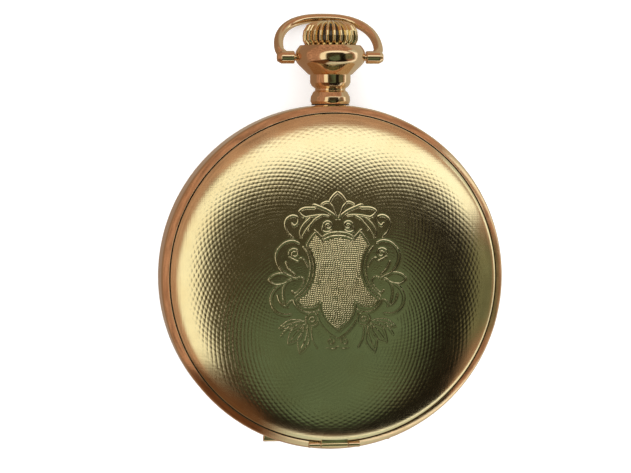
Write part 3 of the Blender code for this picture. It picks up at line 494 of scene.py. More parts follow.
def foot():
    """Rosettes with leaf fans under the shield's lobes, and scrolls at its point."""
    lines = [
        ([(6.6, -2.9), (6.1, -3.75), (5.05, -4.6), (3.65, -4.75), (2.8, -4.4)], 0.11),
        ([(5.0, -6.0), (6.5, -6.4), (7.7, -7.3), (8.35, -8.2)], 0.1),
        ([(4.4, -6.8), (4.7, -8.5), (5.5, -10.3)], 0.08),
        ([(3.9, -6.9), (3.7, -8.7), (3.0, -10.0)], 0.1),
        ([(2.95, -4.8), (2.7, -6.0), (1.5, -7.6), (0.0, -8.7)], 0.11),
        ([(0.0, -9.7), (0.6, -10.1), (1.6, -9.95)], 0.08),
    ]
    scrolls = [
        (((3.8, -5.8), 0.92, 0, 1.0, 0.9), 0.11),
        (((3.8, -5.8), 0.36, 0, 1.0, 0.34), 0.09),
        (((1.05, -9.0), 0.7, 80, 1.2, 0.2), 0.1),
    ]
    leaves = [
        (leaf((4.9, -6.5), (7.3, -9.3), 0.85), 0.11),
        (leaf((4.5, -6.9), (5.5, -10.8), 0.8, vein=False), 0.11),
        (leaf((5.3, -5.9), (8.6, -7.0), 0.6), 0.1),
    ]
    return strokes(lines, *scrolls) + [(part, width) for parts, width in leaves for part in parts]


def stroke_tree():
    """Every stroke's points with the half width there, thinner towards each stroke's ends."""
    points, widths = [], []
    for line, width in scrollwork():
        steps = np.arange(len(line))
        taper = np.minimum(1, np.minimum(steps, steps[::-1]) / 9 + 0.45)
        for side in (1, -1):
            points.append(line * (side, 1))
            widths.append(0.9 * width * taper)
    points, widths = np.vstack(points), np.concatenate(widths)
    tree = kdtree.KDTree(len(points))
    for i, (x, y) in enumerate(points):
        tree.insert((x, y, 0), i)
    tree.balance()
    return tree, widths


STROKES, STROKE_WIDTHS = stroke_tree()
SHIELD_LINE = np.vstack(shield_half())
SHIELD_LINE = np.vstack([SHIELD_LINE, (SHIELD_LINE * (-1, 1))[::-1]])


def inside_shield(x, y):
    """True where a point lies within the shield's outline, by counting crossings."""
    ax, ay = SHIELD_LINE[:, 0], SHIELD_LINE[:, 1]
    bx, by = np.roll(ax, -1), np.roll(ay, -1)
    crossed = np.zeros(len(x), bool)
    for x0, y0, x1, y1 in zip(ax, ay, bx, by):
        if y0 == y1:
            continue
        hit = ((y0 > y) != (y1 > y)) & (x < (x1 - x0) * (y - y0) / (y1 - y0) + x0)
        crossed ^= hit
    return crossed


def stippling(x, y):
    """Small pebbles in wandering rows, as a punch leaves them."""
    up = 3.5 * y + 0.6 * np.sin(0.9 * x)
    row = np.floor(up)
    along = 2.9 * x + 0.5 * row + 0.3 * np.sin(2.4 * row)
    return PEBBLE * (np.abs(np.sin(math.pi * along) * np.sin(math.pi * up)) - 0.5)


def cartouche(x, y):
    """Height of the engraved cartouche, and how much of the engine turning it leaves."""
    distance, width = np.zeros(len(x)), np.zeros(len(x))
    for i, (px, py) in enumerate(zip(x, y)):
        _, nearest, away = STROKES.find((px, py, 0))
        distance[i] = away
        width[i] = STROKE_WIDTHS[nearest]
    share = distance / width
    ridge = RIDGE * np.clip(1 - share**2, 0, 1)
    furrow = -FURROW * np.exp(-((share - 1.8) / 0.8) ** 2)
    within = inside_shield(x, y)
    marks = np.zeros(len(x))
    deep = within & (distance > 0.3)
    marks[deep] = stippling(x[deep], y[deep])
    kept = smooth(distance, 0.55, 0.95) * ~within
    return ridge + furrow + marks, kept


def cover_height(x, y):
    r = np.hypot(x, y)
    kept = np.ones(len(x))
    engraved = np.zeros(len(x))
    near = r < CARTOUCHE_R
    if near.any():
        engraved[near], kept[near] = cartouche(x[near], y[near])
        engraved[near] *= 1 - smooth(r[near], CARTOUCHE_R - 0.6, CARTOUCHE_R)
        kept[near] = np.maximum(kept[near], smooth(r[near], CARTOUCHE_R - 0.7, CARTOUCHE_R - 0.1))
    return dome(r) + engraved + kept * engine_turning(x, y)


def with_relief(rings, height):
    """Gives every point of the rings its height, and returns them with each point's normal."""
    points = np.vstack(rings)
    x, y = points[:, 0], points[:, 1]
    points[:, 2] = height(x, y)
    step = 0.02
    slope_x = (height(x + step, y) - height(x - step, y)) / (2 * step)
    slope_y = (height(x, y + step) - height(x, y - step)) / (2 * step)
    normals = np.column_stack([-slope_x, -slope_y, np.ones(len(x))])
    normals /= np.linalg.norm(normals, axis=1)[:, None]
    ends = np.cumsum([len(r) for r in rings])[:-1]
    return np.split(points, ends), normals


def set_normals(obj, normals):
    """Exact normals for the relief, the mesh's first vertices; the rest keep their own."""
    mesh = obj.data
    corner_vertex = np.zeros(len(mesh.loops), int)
    mesh.loops.foreach_get("vertex_index", corner_vertex)
    face_of = np.repeat(np.arange(len(mesh.polygons)), [p.loop_total for p in mesh.polygons])
    in_relief = corner_vertex < len(normals)
    whole_face = np.ones(len(mesh.polygons), bool)
    np.logical_and.at(whole_face, face_of, in_relief)
    chosen = whole_face[face_of]
    given = np.zeros((len(corner_vertex), 3))
    given[chosen] = normals[corner_vertex[chosen]]
    mesh.normals_split_custom_set([tuple(n) for n in given])


def halved(r):
    """Vertices in a ring of this radius: half as many each time the radius halves."""
    count = FINE
    limit = MEDALLION_R / 2
    while r < limit and count > COARSE:
        count //= 2
        limit /= 2
    return count


def cover_middle():
    """The cartouche and the turning round it."""
    radii = [*np.arange(MEDALLION_R, 0.2, -RING_GAP), 0.1, 0]
    rings, normals = with_relief([ring(r, 0, halved(r)) for r in radii], cover_height)
    under = lining((0, 1.0, 2.5, 5.0, 9.0, MEDALLION_R))
    return skin("cover_middle", rings + under, loop=True, sharp=60), normals


def turned_rings(first):
    """Rings of the engine turning for some cuts from this radius outwards, and their normals."""
    radii = first + np.arange(CUTS * STEPS_IN_CUT + 1) * BARLEY / STEPS_IN_CUT
    return with_relief([ring(r, 0, FINE) for r in radii], cover_height)


def lining(radii):
    return [ring(r, dome(r, COVER_R - WALL, RISE - WALL), halved(r)) for r in radii]


def cover_ring():
    """The inner half of the engine turning round the cartouche."""
    rings, normals = turned_rings(MEDALLION_R)
    under = lining((RING_R, 15.5, MEDALLION_R))
    return skin("cover_ring", rings + under, loop=True, sharp=60), normals


def cover_border():
    """The outer half of the engine turning, the plain border and the edge."""
    rings, normals = turned_rings(RING_R)
    edge = [(r, dome(r)) for r in (23.0, 23.2, 23.4, 23.6, 23.8, 23.92, 24.0, 24.05)]
    edge += [(24.09, 11.52), (24.08, 11.47), (24.0, 11.45), (23.66, 11.45)]
    outside = [ring(r, z, FINE) for r, z in edge]
    under = lining((23.59, 23.5, 23.2, 22.5, 21, RING_R))
    return skin("cover_border", [*rings, *outside, *under], loop=True, sharp=50), normals


# ---------- joints of the case ----------

def slab(name, low, high, soft=0.08):
    """A block with rounded edges."""
    made = bmesh.new()
    bmesh.ops.create_cube(made, size=1)
    low, high = Vector(low), Vector(high)
    for vertex in made.verts:
        vertex.co = [(a + b) / 2 * MM + c * (b - a) * MM for a, b, c in zip(low, high, vertex.co)]
    if soft:
        bmesh.ops.bevel(made, geom=made.edges[:], offset=soft * MM, segments=3, affect="EDGES", profile=0.5)
    return finished(name, bpy.data.meshes.new(name), made, 40)


def cut(obj, *tools):
    """Takes the tools out of a piece."""
    for tool in tools:
        change = obj.modifiers.new("cut", "BOOLEAN")
        change.object = tool
        change.solver = "EXACT"
    bpy.context.view_layer.update()
    graph = bpy.context.evaluated_depsgraph_get()
    mesh = bpy.data.meshes.new_from_object(obj.evaluated_get(graph))
    obj.modifiers.clear()
    obj.data = mesh
    for tool in tools:
        bpy.data.objects.remove(tool)
    mesh.set_sharp_from_angle(angle=math.radians(35))
    return obj


def rod(name, r, x0, x1, y, z, soft=0.05, count=40):
    """A round bar along X with rounded ends."""
    profile = [(0, x0), (r - soft, x0), (r - 0.3 * soft, x0 + 0.3 * soft), (r, x0 + soft),
               (r, x1 - soft), (r - 0.3 * soft, x1 - 0.3 * soft), (r - soft, x1), (0, x1)]
    return laid_along_x(lathe(name, profile, count), y, z)


def knuckle(name, x0, x1, z):
    """A hinge knuckle, bored for its pin."""
    profile = rounded([(0.28, x0), (KNUCKLE_R, x0), (KNUCKLE_R, x1), (0.28, x1)], 0.08)
    return laid_along_x(lathe(name, profile, 40), HINGE_Y, z)


def hinge_part(name, cover, material, x0, x1, z, leaf):
    """Knuckle and leaf of one cover; leaf is how far in it reaches and its lowest and highest z."""
    reach, low, high = leaf
    piece(knuckle(name + "_knuckle", x0, x1, z), material, cover, "gold", cover)
    plate = slab(name + "_leaf", (x0, HINGE_Y + 0.25, low), (x1, HINGE_Y + reach, high))
    piece(plate, material, cover, "gold", cover)


# ---------- covers ----------

FRONT_LEAF = 2.0
CUVETTE_LEAF = 2.1
BACK_LEAF = 6.5
BACK_FLAT = 11.0
BACK_SEAT = 3.3


def front_cover():
    for obj, normals in (cover_middle(), cover_ring(), cover_border()):
        set_normals(obj, normals)
        piece(obj, DOME_GOLD, "front_cover", "gold", "front_cover")
    hinge_part("front_cover", "front_cover", GOLD, -FRONT_LEAF, FRONT_LEAF, FRONT_HINGE_Z,
               (0.95, SEAT - 0.22, SEAT + 0.2))


def back_height(r):
    """Height of the back's outside, which curves up to its seat."""
    share = np.clip((r - BACK_FLAT) / (COVER_R - BACK_FLAT), 0, 1)
    return BACK_SEAT * (1 - np.clip(1 - share**1.9, 0, 1) ** 0.75)


def back_relief(x, y):
    """The back: a plain flat disc, a bead round it and engine turning out to the border."""
    r = np.hypot(x, y)
    kept = smooth(r, BACK_FLAT + 0.5, BACK_FLAT + 0.9)
    turning = kept * (CUT_DEPTH + engine_turning(x, y))
    bead = 0.01 * np.exp(-((r - BACK_FLAT - 0.25) / 0.1) ** 2)
    return back_height(r) + turning - bead + 0.01 * smooth(r, 9, 10)


def back_cover():
    count = 576
    radii = [0.0, 3.0, 6.0, 8.5, *np.arange(9.0, 23.2, BARLEY / 5)]
    rings, normals = with_relief([ring(r, 0, count) for r in radii], back_relief)
    edge = [(r, back_height(r)) for r in (23.4, 23.6, 23.8, 23.95, 24.04)]
    edge += [(24.09, 3.24), (24.07, 3.3), (23.66, 3.3)]
    inner_radii = (23.4, 23.1, 22.5, 21.5, 20, 18, 15.5, 13, BACK_FLAT)
    inner = [(r - 0.45, back_height(r) + WALL) for r in inner_radii]
    inner += [(9.0, WALL), (4.0, WALL), (0, WALL)]
    outside = [ring(r, z, count) for r, z in edge + inner]
    obj = skin("back_cover_shell", [*rings, *outside], sharp=50)
    set_normals(obj, -normals)
    piece(obj, DOME_GOLD, "back_cover", "gold", "back_cover")
    for side, where in SIDES:
        x0, x1 = sorted((side * (CUVETTE_LEAF + 0.1), side * BACK_LEAF))
        hinge_part("back_cover_" + where, "back_cover", GOLD, x0, x1, BACK_HINGE_Z,
                   (1.6, BACK_SEAT - 0.22, BACK_SEAT + 0.22))


def cuvette():
    radii = [0, 3, 6, 9, 12, 14, 16, 18, 19.5, 20.5, 21.3, 22.0, 22.4]
    low = [(r, 1.5 + 2.1 * (r / 22.8) ** 2.6) for r in radii]
    rim = [(22.56, 3.62), (22.6, 3.75), (22.55, 3.86)]
    high = [(r, z + 0.35) for r, z in low[::-1]]
    piece(lathe("cuvette_shell", low + rim + high, 256), CUVETTE_GOLD, "cuvette", "gold", "cuvette")
    hinge_part("cuvette", "cuvette", CUVETTE_GOLD, -CUVETTE_LEAF, CUVETTE_LEAF, BACK_HINGE_Z,
               (2.7, 3.47, 3.85))


# ---------- band, pendant, bow and crown ----------

BAND = [
    (24.12, 11.4, 0.02), (24.14, 10.95, 0.02), (24.26, 10.95, 0.02), (24.28, 11.4), (25.22, 10.85, 0.3),
    (25.4, 10.3, 0.4), (25.4, 4.4, 0.5), (25.15, 3.7, 0.25), (24.35, 3.4, 0.06), (22.8, 3.4), (22.8, 4.0),
    (20.9, 4.0), (20.9, 8.35), (21.9, 8.35), (21.9, 5.0), (24.5, 5.0, 0.3), (24.5, 10.0, 0.3),
    (22.5, 10.0), (22.5, 11.4, 0.06),
]
SEAM = [(24.15, 10.96), (24.25, 10.96), (24.25, 11.2), (24.15, 11.2)]
GAP = 0.05
FRONT_BARREL = 3.8
BACK_BARREL = 9.6
PIN_R = 0.25


def case_piece(obj, node="case_center"):
    return piece(obj, ROSE, "case", "rose_gold", node)


def hinge_room(half, z, low, high):
    """Tools that clear the band for a hinge; low and high are a block's y and z."""
    half += GAP
    return [
        slab("t", (-half, *low), (half, *high), 0),
        rod("t", KNUCKLE_R + GAP, -half, half, HINGE_Y, z, 0.01),
    ]


def band():
    """The band, cleared for the hinges and both springs, and a dark ring of painted shade in its seam."""
    tools = [
        *hinge_room(FRONT_LEAF, FRONT_HINGE_Z, (-26, 11.2), (-23.4, 12.2)),
        *hinge_room(BACK_LEAF, BACK_HINGE_Z, (-26, 2.8), (-22.85, BACK_SEAT + 0.32)),
        slab("t", (-CUVETTE_LEAF - GAP, -26, 3.0), (CUVETTE_LEAF + GAP, -22.4, 3.95), 0),
        slab("t", (-2.4, 22.2, 9.8), (2.4, 23.6, 12), 0),
        slab("t", (-6.3, -23.3, 9.8), (-3.6, -21.6, 12), 0),
    ]
    case_piece(cut(lathe("band", rounded(BAND, 0.05), 256), *tools))
    # A dark ring laid in the seam stands in for the shade there: painted shade, cut away at the hinge.
    hinge_side = slab("t", (-FRONT_LEAF - 0.3, -26, 10.5), (FRONT_LEAF + 0.3, -23, 12.2), 0)
    piece(cut(lathe("seam_painted_shade", SEAM, 192), hinge_side), PAINTED_SHADE, "case", "rose_gold", "case_center")


def barrels():
    """The fixed parts of both hinges, left and right of the moving ones."""
    for side, where in SIDES:
        x0, x1 = sorted((side * (FRONT_LEAF + 0.1), side * FRONT_BARREL))
        case_piece(knuckle("front_barrel_" + where, x0, x1, FRONT_HINGE_Z))
        x0, x1 = sorted((side * (BACK_LEAF + 0.1), side * BACK_BARREL))
        case_piece(knuckle("back_barrel_" + where, x0, x1, BACK_HINGE_Z))
        case_piece(slab("back_barrel_seat_" + where, (x0, -24.55, 3.45), (x1, -23.1, 4.04), 0.12))


def hinge_pins():
    pins = (("front_hinge_pin", FRONT_BARREL, FRONT_HINGE_Z), ("back_hinge_pin", BACK_BARREL, BACK_HINGE_Z))
    for node, half, z in pins:
        case_piece(rod(node + "_round", PIN_R, -half, half, HINGE_Y, z, 0.06, 24), node)


PENDANT = [
    (2.3, 24.6, 0), (2.3, 25.48, 0.01), (2.75, 25.5, 0.1), (2.95, 25.95, 0.3), (2.9, 26.6, 0.4),
    (2.55, 27.3, 0.3), (2.25, 27.55, 0.04), (2.25, 27.8, 0.04), (2.75, 28.2, 0.2), (3.0, 28.7, 0.3),
    (3.0, 29.9), (3.2, 29.85, 0.15), (5.15, 31.75, 1.6), (5.2, 33.3, 1.5), (4.5, 34.2, 0.15), (4.25, 34.2),
    (4.25, 33.1), (1.3, 33.1), (1.3, 24.6, 0),
]
BOW_Y = 32.43
BOW_HEIGHT = 8.9
BOW_HALF = 7.45
BOW_SHOULDER = 2.2
BOW_WIRE = 0.7
BOW_TILT = math.radians(47.5)
LUG = [
    (0, 4.35), (0.5, 4.35), (0.5, 5.38), (0.9, 5.38), (0.95, 5.5, 0.05), (0.95, 7.3, 0.4),
    (0.6, 7.93, 0.3), (0, 7.98),
]


def pendant():
    """The turned neck and head with sockets for the bow, and a dark collar of painted shade round its foot.
    """
    obj = laid_along_y(lathe("pendant_turned", rounded(PENDANT, 0.05), 160))
    sockets = [rod("t", 0.55, side * 5 - 1, side * 5 + 1, BOW_Y, STEM_Z, 0.01) for side, _ in SIDES]
    case_piece(cut(obj, *sockets), "pendant")
    # A dark ring where the pendant meets the band: painted contact shadow.
    shade_collar = lathe("pendant_painted_shade", [(2.2, 25.36), (2.82, 25.36), (2.82, 25.5), (2.2, 25.5)], 96)
    piece(laid_along_y(shade_collar), PAINTED_SHADE, "case", "rose_gold", "pendant")


def sweep(name, path, radii, count=40):
    """A round wire along a path in the XY plane."""
    path = np.array(path)
    along = np.gradient(path, axis=0)
    along /= np.linalg.norm(along, axis=1)[:, None]
    angles = np.arange(count) * TAU / count
    rings = []
    for (x, y), (dx, dy), r in zip(path, along, radii):
        rings.append(np.column_stack([
            x - dy * r * np.cos(angles), y + dx * r * np.cos(angles), r * np.sin(angles),
        ]))
    rings = [rings[0].mean(axis=0)[None], *rings, rings[-1].mean(axis=0)[None]]
    return skin(name, rings)


def bow_piece(obj):
    """Turns a piece drawn flat in XY to the bow's slant and sets it on the pendant."""
    obj.data.transform(Matrix.Rotation(-BOW_TILT, 4, "X"))
    moved(obj, y=BOW_Y, z=STEM_Z)
    return piece(obj, ROSE, "bow", "rose_gold", "bow")


def bow():
    """A wire bent to a round loop, a little thicker at its ends, with a lug at each end."""
    half = [(6.5, 0.0), (7.0, 0.7), (7.38, 1.5)]
    for angle in np.linspace(0.02, math.pi / 2, 26):
        rise = (BOW_HEIGHT - BOW_SHOULDER) * math.sin(angle) ** 0.9
        half.append((BOW_HALF * math.cos(angle) ** 0.8, BOW_SHOULDER + rise))
    half = through(half, 0.12)
    path = np.vstack([half, (half * (-1, 1))[-2::-1]])
    ends = np.minimum(np.arange(len(path)), np.arange(len(path))[::-1]) / 12
    radii = BOW_WIRE + 0.08 * np.clip(1 - ends, 0, 1)
    bow_piece(sweep("bow_wire", path, radii))
    for side, where in SIDES:
        made = lathe("bow_lug_" + where, rounded(LUG, 0.06, closed=False), 72)
        made.data.transform(Matrix.Rotation(side * math.pi / 2, 4, "Y"))
        bow_piece(made)


CROWN_RIBS = 24
FLUTE_DEPTH = 0.85
CROWN = [
    (0, 33.85), (3.3, 33.85, 0.05), (3.6, 33.87, 0.1), (4.1, 34.9), (4.14, 35.6), (4.02, 36.35),
    (3.5, 37.2), (2.5, 37.65, 0.2), (2.1, 37.7, 0.1), (1.6, 37.8), (0, 37.85),
]
# Profile of a dark core inside the flutes, standing in for the shade in them: painted shade.
CROWN_SHADE_CORE = [
    (0, 34.2), (3.3, 34.3), (3.6, 34.95, 0.2), (3.62, 35.6, 0.3), (3.5, 36.25, 0.3), (2.95, 37.0, 0.2),
    (2.3, 37.36, 0.1), (0, 37.3),
]


def crown():
    """Deep flutes run up the side and fold over the outer end; a dark core of painted shade fills their
    bottoms.
    """
    count = CROWN_RIBS * 16
    angles = np.arange(count) * TAU / count
    groove = ((1 - np.cos(CROWN_RIBS * angles)) / 2) ** 1.5
    rings = []
    for r, y in rounded(CROWN, 0.3, steps=5, closed=False):
        if r < ON_AXIS:
            rings.append(np.array([[0, 0, y]]))
            continue
        deep = FLUTE_DEPTH * smooth(r, 2.0, 2.9) * smooth(y, 33.86, 34.2)
        size = r - deep * groove
        drop = 0.3 * groove * smooth(y, 36.6, 37.5) * smooth(r, 1.8, 2.4)
        rings.append(np.column_stack([size * np.cos(angles), size * np.sin(angles), y - drop]))
    obj = laid_along_y(skin("crown_fluted", rings, sharp=50))
    piece(obj, CROWN_GOLD, "crown", "gold", "crown")
    # The dark core darkens the flute bottoms: painted shade.
    shade_core = lathe("crown_painted_shade", rounded(CROWN_SHADE_CORE, 0.1, closed=False), 96)
    piece(laid_along_y(shade_core), PAINTED_SHADE, "crown", "gold", "crown")


# ---------- glass, dial and hands ----------

DIAL_R = corners("dial")[1].x
DIAL_TOP = corners("dial")[1].z
DIAL_UNDER = 9.5
SECONDS_AT = Vector((9.6, 0))
SECONDS_R = 4.4
SECONDS_TOP = 9.85


def bezel():
    profile = rounded([
        (20.7, 11.9, 0.1), (21.6, 11.9, 0.15), (22.35, 11.3, 0.2), (22.35, 10.1, 0.05), (19.9, 10.1, 0.05),
        (19.9, 11.15, 0.12), (20.7, 11.15, 0.03),
    ], 0.1)
    piece(lathe("bezel_ring", profile, 256), GOLD, "case", "gold", "bezel")


def crystal():
    radii = [0, 4, 8, 11, 14, 17, 19, 20.0, 20.5]
    low = [(r, 11.8 - 0.6 * (r / 20.6) ** 2.6) for r in radii]
    high = [(r, z + 0.42) for r, z in low]
    edge = [(20.58, 11.26), (20.6, 11.4), (20.58, 11.56)]
    piece(lathe("crystal_glass", low + edge + high[::-1], 192), GLASS, "case", "crystal", "crystal")


def prisms(name, outlines, z0, z1, soft=0.0):
    """Flat plates of one thickness, each from its own outline."""
    points, faces = [], []
    for outline in outlines:
        start, n = len(points), len(outline)
        points += [(x, y, z0) for x, y in outline] + [(x, y, z1) for x, y in outline]
        faces.append(tuple(range(start + n - 1, start - 1, -1)))
        faces.append(tuple(range(start + n, start + 2 * n)))
        faces += [(start + i, start + (i + 1) % n, start + n + (i + 1) % n, start + n + i) for i in range(n)]
    obj = solid(name, points, faces)
    if soft:
        rounding = obj.modifiers.new("rounding", "BEVEL")
        rounding.width = soft * MM
        rounding.segments = 2
        rounding.limit_method = "ANGLE"
    return obj


def stroke(start, end, width):
    """A straight bar between two points."""
    start, end = Vector(start), Vector(end)
    side = (end - start).orthogonal().normalized() * width / 2
    return [start - side, end - side, end + side, start + side]


LETTERS = {
    "I": (0.62, [((0.31, 0), (0.31, 1), 0.24)]),
    "V": (1.15, [((0.22, 1), (0.58, 0), 0.24), ((0.96, 1), (0.6, 0), 0.08)]),
    "X": (1.2, [((0.22, 1), (0.98, 0), 0.24), ((0.98, 1), (0.22, 0), 0.08)]),
}
HOURS = ["XII", "I", "II", "III", "IIII", "V", "VI", "VII", "VIII", "IX", "X", "XI"]


def numeral(text, tall, place):
    """Roman strokes with serifs; place turns a point of the text into one of the dial."""
    wide = sum(LETTERS[letter][0] for letter in text)
    across = -wide / 2
    bars = []
    for letter in text:
        width, lines = LETTERS[letter]
        for (x0, y0), (x1, y1), thick in lines:
            bars.append(((across + x0, y0 - 0.5), (across + x1, y1 - 0.5), thick))
            for x, y in ((x0, y0), (x1, y1)):
                level = (y - 0.5) * 0.96
                reach = thick / 2 + 0.12
                bars.append(((across + x - reach, level), (across + x + reach, level), 0.04))
        across += width
    return [[place(p.x * tall * 0.62, p.y * tall) for p in stroke(*bar)] for bar in bars]


def clock_place(angle, r):
    """Maps an upright drawing to its place on the dial; twelve o'clock is towards -X."""
    out = Vector((-math.cos(angle), math.sin(angle)))
    right = Vector((math.sin(angle), math.cos(angle)))
    return lambda x, y: out * (r + y) + right * x


def block(wide, low, high):
    return ((-wide / 2, low), (wide / 2, low), (wide / 2, high), (-wide / 2, high))


def arc_band(r0, r1, centre=(0, 0), count=160):
    """A flat ring as short pieces, so that each stays a simple outline."""
    made = []
    for i in range(count):
        a, b = i * TAU / count, (i + 1) * TAU / count
        made.append([(centre[0] + r * math.cos(t), centre[1] + r * math.sin(t))
                     for r, t in ((r0, a), (r1, a), (r1, b), (r0, b))])
    return made


def dial_plate():
    """The enamel disc with its sunk seconds circle and the holes for the hands."""
    disc = [(1.1, DIAL_UNDER), (DIAL_R, DIAL_UNDER), (DIAL_R, 10.0), (1.1, 10.0)]
    sunk = [(0, SECONDS_TOP), (SECONDS_R - 0.04, SECONDS_TOP), (SECONDS_R, 9.9), (SECONDS_R + 0.02, 10.5),
            (0, 10.5)]
    tools = [lathe("t", sunk, 128), lathe("t", [(0, 9), (0.5, 9), (0.5, 11), (0, 11)], 48)]
    plate = cut(lathe("dial_plate", rounded(disc, 0.06), 256), *[moved(tool, *SECONDS_AT) for tool in tools])
    piece(plate, ENAMEL, "case", "enamel", "dial")


def dial_print():
    """The hours and the minute track, printed on the disc."""
    marks = []
    for hour, text in enumerate(HOURS):
        if hour != 6:
            marks += numeral(text, 3.6, clock_place(hour * TAU / 12, 15.2))
    for minute in range(60):
        thick = 0.26 if minute % 5 == 0 else 0.09
        place = clock_place(minute * TAU / 60, 18.6)
        marks.append([place(*p) for p in block(thick, -0.3, 0.3)])
    marks += arc_band(18.26, 18.32) + arc_band(18.88, 18.94)
    printed = prisms("dial_print", marks, DIAL_TOP - 0.01, DIAL_TOP + 0.008)
    piece(printed, PRINT, "case", "enamel", "dial")


def seconds_print():
    """The seconds track, printed in the sunk circle."""
    marks = arc_band(3.35, 3.39, SECONDS_AT, 96) + arc_band(3.75, 3.79, SECONDS_AT, 96)
    for second in range(60):
        place = clock_place(second * TAU / 60, 3.57)
        thick, low = (0.1, -0.42) if second % 5 == 0 else (0.045, -0.2)
        marks.append([place(*p) + SECONDS_AT for p in block(thick, low, 0.2)])
    printed = prisms("seconds_print", marks, SECONDS_TOP - 0.01, SECONDS_TOP + 0.008)
    piece(printed, PRINT, "case", "enamel", "dial")


def hand_outline(length, width, tail, hub):
    """A slim hand that swells to a leaf, with a round hub and perhaps a tail."""
    half = [
        (hub * 0.94, 0.2), (length * 0.34, 0.13), (length * 0.5, 0.15), (length * 0.6, width * 0.7),
        (length * 0.68, width), (length * 0.77, width * 0.66), (length * 0.87, 0.17), (length - 0.02, 0.045),
    ]
    upper = [tuple(p) for p in through(half, 0.12)]
    start = math.atan2(upper[0][1], upper[0][0])
    stop = math.pi - (0.3 if tail else 0.0)
    turn = np.linspace(start, stop, 24)
    back = [(hub * math.cos(a), hub * math.sin(a)) for a in turn]
    if tail:
        back += [(-tail * 0.6, 0.14), (-tail, 0.26)]
    side = back[::-1] + upper
    return side + [(x, -y) for x, y in side[::-1] if y > 1e-3]


def hand(node, body, centre, heading, heights, length, width, tail, hub):
    """A blued hand with a cap on its hub; heading is in degrees from +X."""
    low, high = heights
    turn = Matrix.Rotation(math.radians(heading), 2)
    outline = [tuple(turn @ Vector(p) + Vector(centre)) for p in hand_outline(length, width, tail, hub)]
    piece(prisms(node + "_leaf", [outline], low, high, 0.035), BLUED, body, "blued_steel", node)
    cap_r = hub * 0.62
    cap = [(0, high - 0.03), (cap_r, high - 0.03), (cap_r, high + 0.1), (0, high + 0.16)]
    cap = lathe(node + "_leaf_cap", rounded(cap, 0.06, closed=False), 64)
    piece(moved(cap, *centre), BLUED, body, "blued_steel", node)


def hands():
    hand("hour_hand", "hour_wheel", (0, 0), 235, (10.3, 10.45), 11.5, 1.2, 0, 1.7)
    hand("minute_hand", "centre_wheel", (0, 0), 120, (10.7, 10.85), 16.5, 0.9, 0, 1.4)
    hand("seconds_hand", "fourth_wheel", SECONDS_AT, 180, (10.06, 10.14), 3.6, 0.17, 1.2, 0.5)


# ---------- the works, kept as modelled ----------

def finishes():
    """Each material with the nodes that carry it."""
    return {
        NICKEL: "barrel_bridge train_bridge balance_cock pallet_bridge",
        FROSTED: "main_plate",
        BRASS: "barrel barrel_cover centre_wheel third_wheel fourth_wheel minute_wheel hour_wheel",
        STEEL: "barrel_arbor cannon_pinion click clutch crown_wheel crown_wheel_core escape_wheel stem "
               "lift_spring lock_spring pallet_fork pendant_sleeve ratchet_wheel regulator setting_lever "
               "winding_pinion mainspring lift_spring_screw lock_spring_screw",
        BLUED: "hairspring balance_cock_screw pallet_bridge_screw train_bridge_screw_1 train_bridge_screw_2 "
               "barrel_bridge_screw_1 barrel_bridge_screw_2 barrel_bridge_screw_3",
        GILT: "balance_wheel",
        RUBY: "jewel_balance jewel_centre jewel_escape jewel_fourth jewel_third",
    }


def dress(node, material):
    """Gives a CAD node its finish and softens its edges with a modifier."""
    obj = frame["nodes"][node]
    obj.data.materials.clear()
    obj.data.materials.append(material)
    obj.data.shade_smooth()
    obj.data.set_sharp_from_angle(angle=math.radians(32))
    rounding = obj.modifiers.new("rounding", "BEVEL")
    rounding.width = 0.03 * MM
    rounding.segments = 2
    rounding.limit_method = "ANGLE"
    rounding.angle_limit = math.radians(40)
    rounding.harden_normals = True


# ---------- set ----------

CASE_WIDTH = 2 * CASE_R
FRAME_WIDTH = 1.822 * CASE_WIDTH
AIM = Vector((-0.0546 * CASE_WIDTH, 0.1205 * CASE_WIDTH, (COVER_TOP + STEM_Z) / 2))
TILT_LEFT = math.radians(8.3)
TILT_UP = math.radians(3.0)
LENS = 135.0
SENSOR = 36.0


def camera():
    data = bpy.data.cameras.new("camera")
    data.lens = LENS
    data.sensor_width = SENSOR
    data.clip_start = 0.01
    data.clip_end = 10
    obj = linked("camera", data)
    rise = math.cos(TILT_LEFT) * math.cos(TILT_UP)
    away = Vector((-math.sin(TILT_LEFT), math.sin(TILT_UP), rise)).normalized()
    obj.location = (AIM + away * FRAME_WIDTH * LENS / SENSOR) * MM
    right = Vector((0, 1, 0)).cross(away).normalized()
    up = away.cross(right)
    obj.rotation_euler = Matrix((right, up, away)).transposed().to_euler()
    bpy.context.scene.camera = obj


def soft_step(tree, value, low, high):
    """Rises from nothing at low to one at high."""
    node = add(tree, "ShaderNodeMapRange", {"Value": value, "From Min": low, "From Max": high},
               interpolation_type="SMOOTHSTEP")
    return node.outputs["Result"]


def patch(tree, x, y, low, high, soft):
    """One where x and y of a direction lie between the low and the high corner."""
    mask = None
    for value, a, b in zip((x, y), low, high):
        below = inverse(tree, soft_step(tree, value, b - soft, b + soft))
        edge = product(tree, soft_step(tree, value, a - soft, a + soft), below)
        mask = edge if mask is None else product(tree, mask, edge)
    return mask


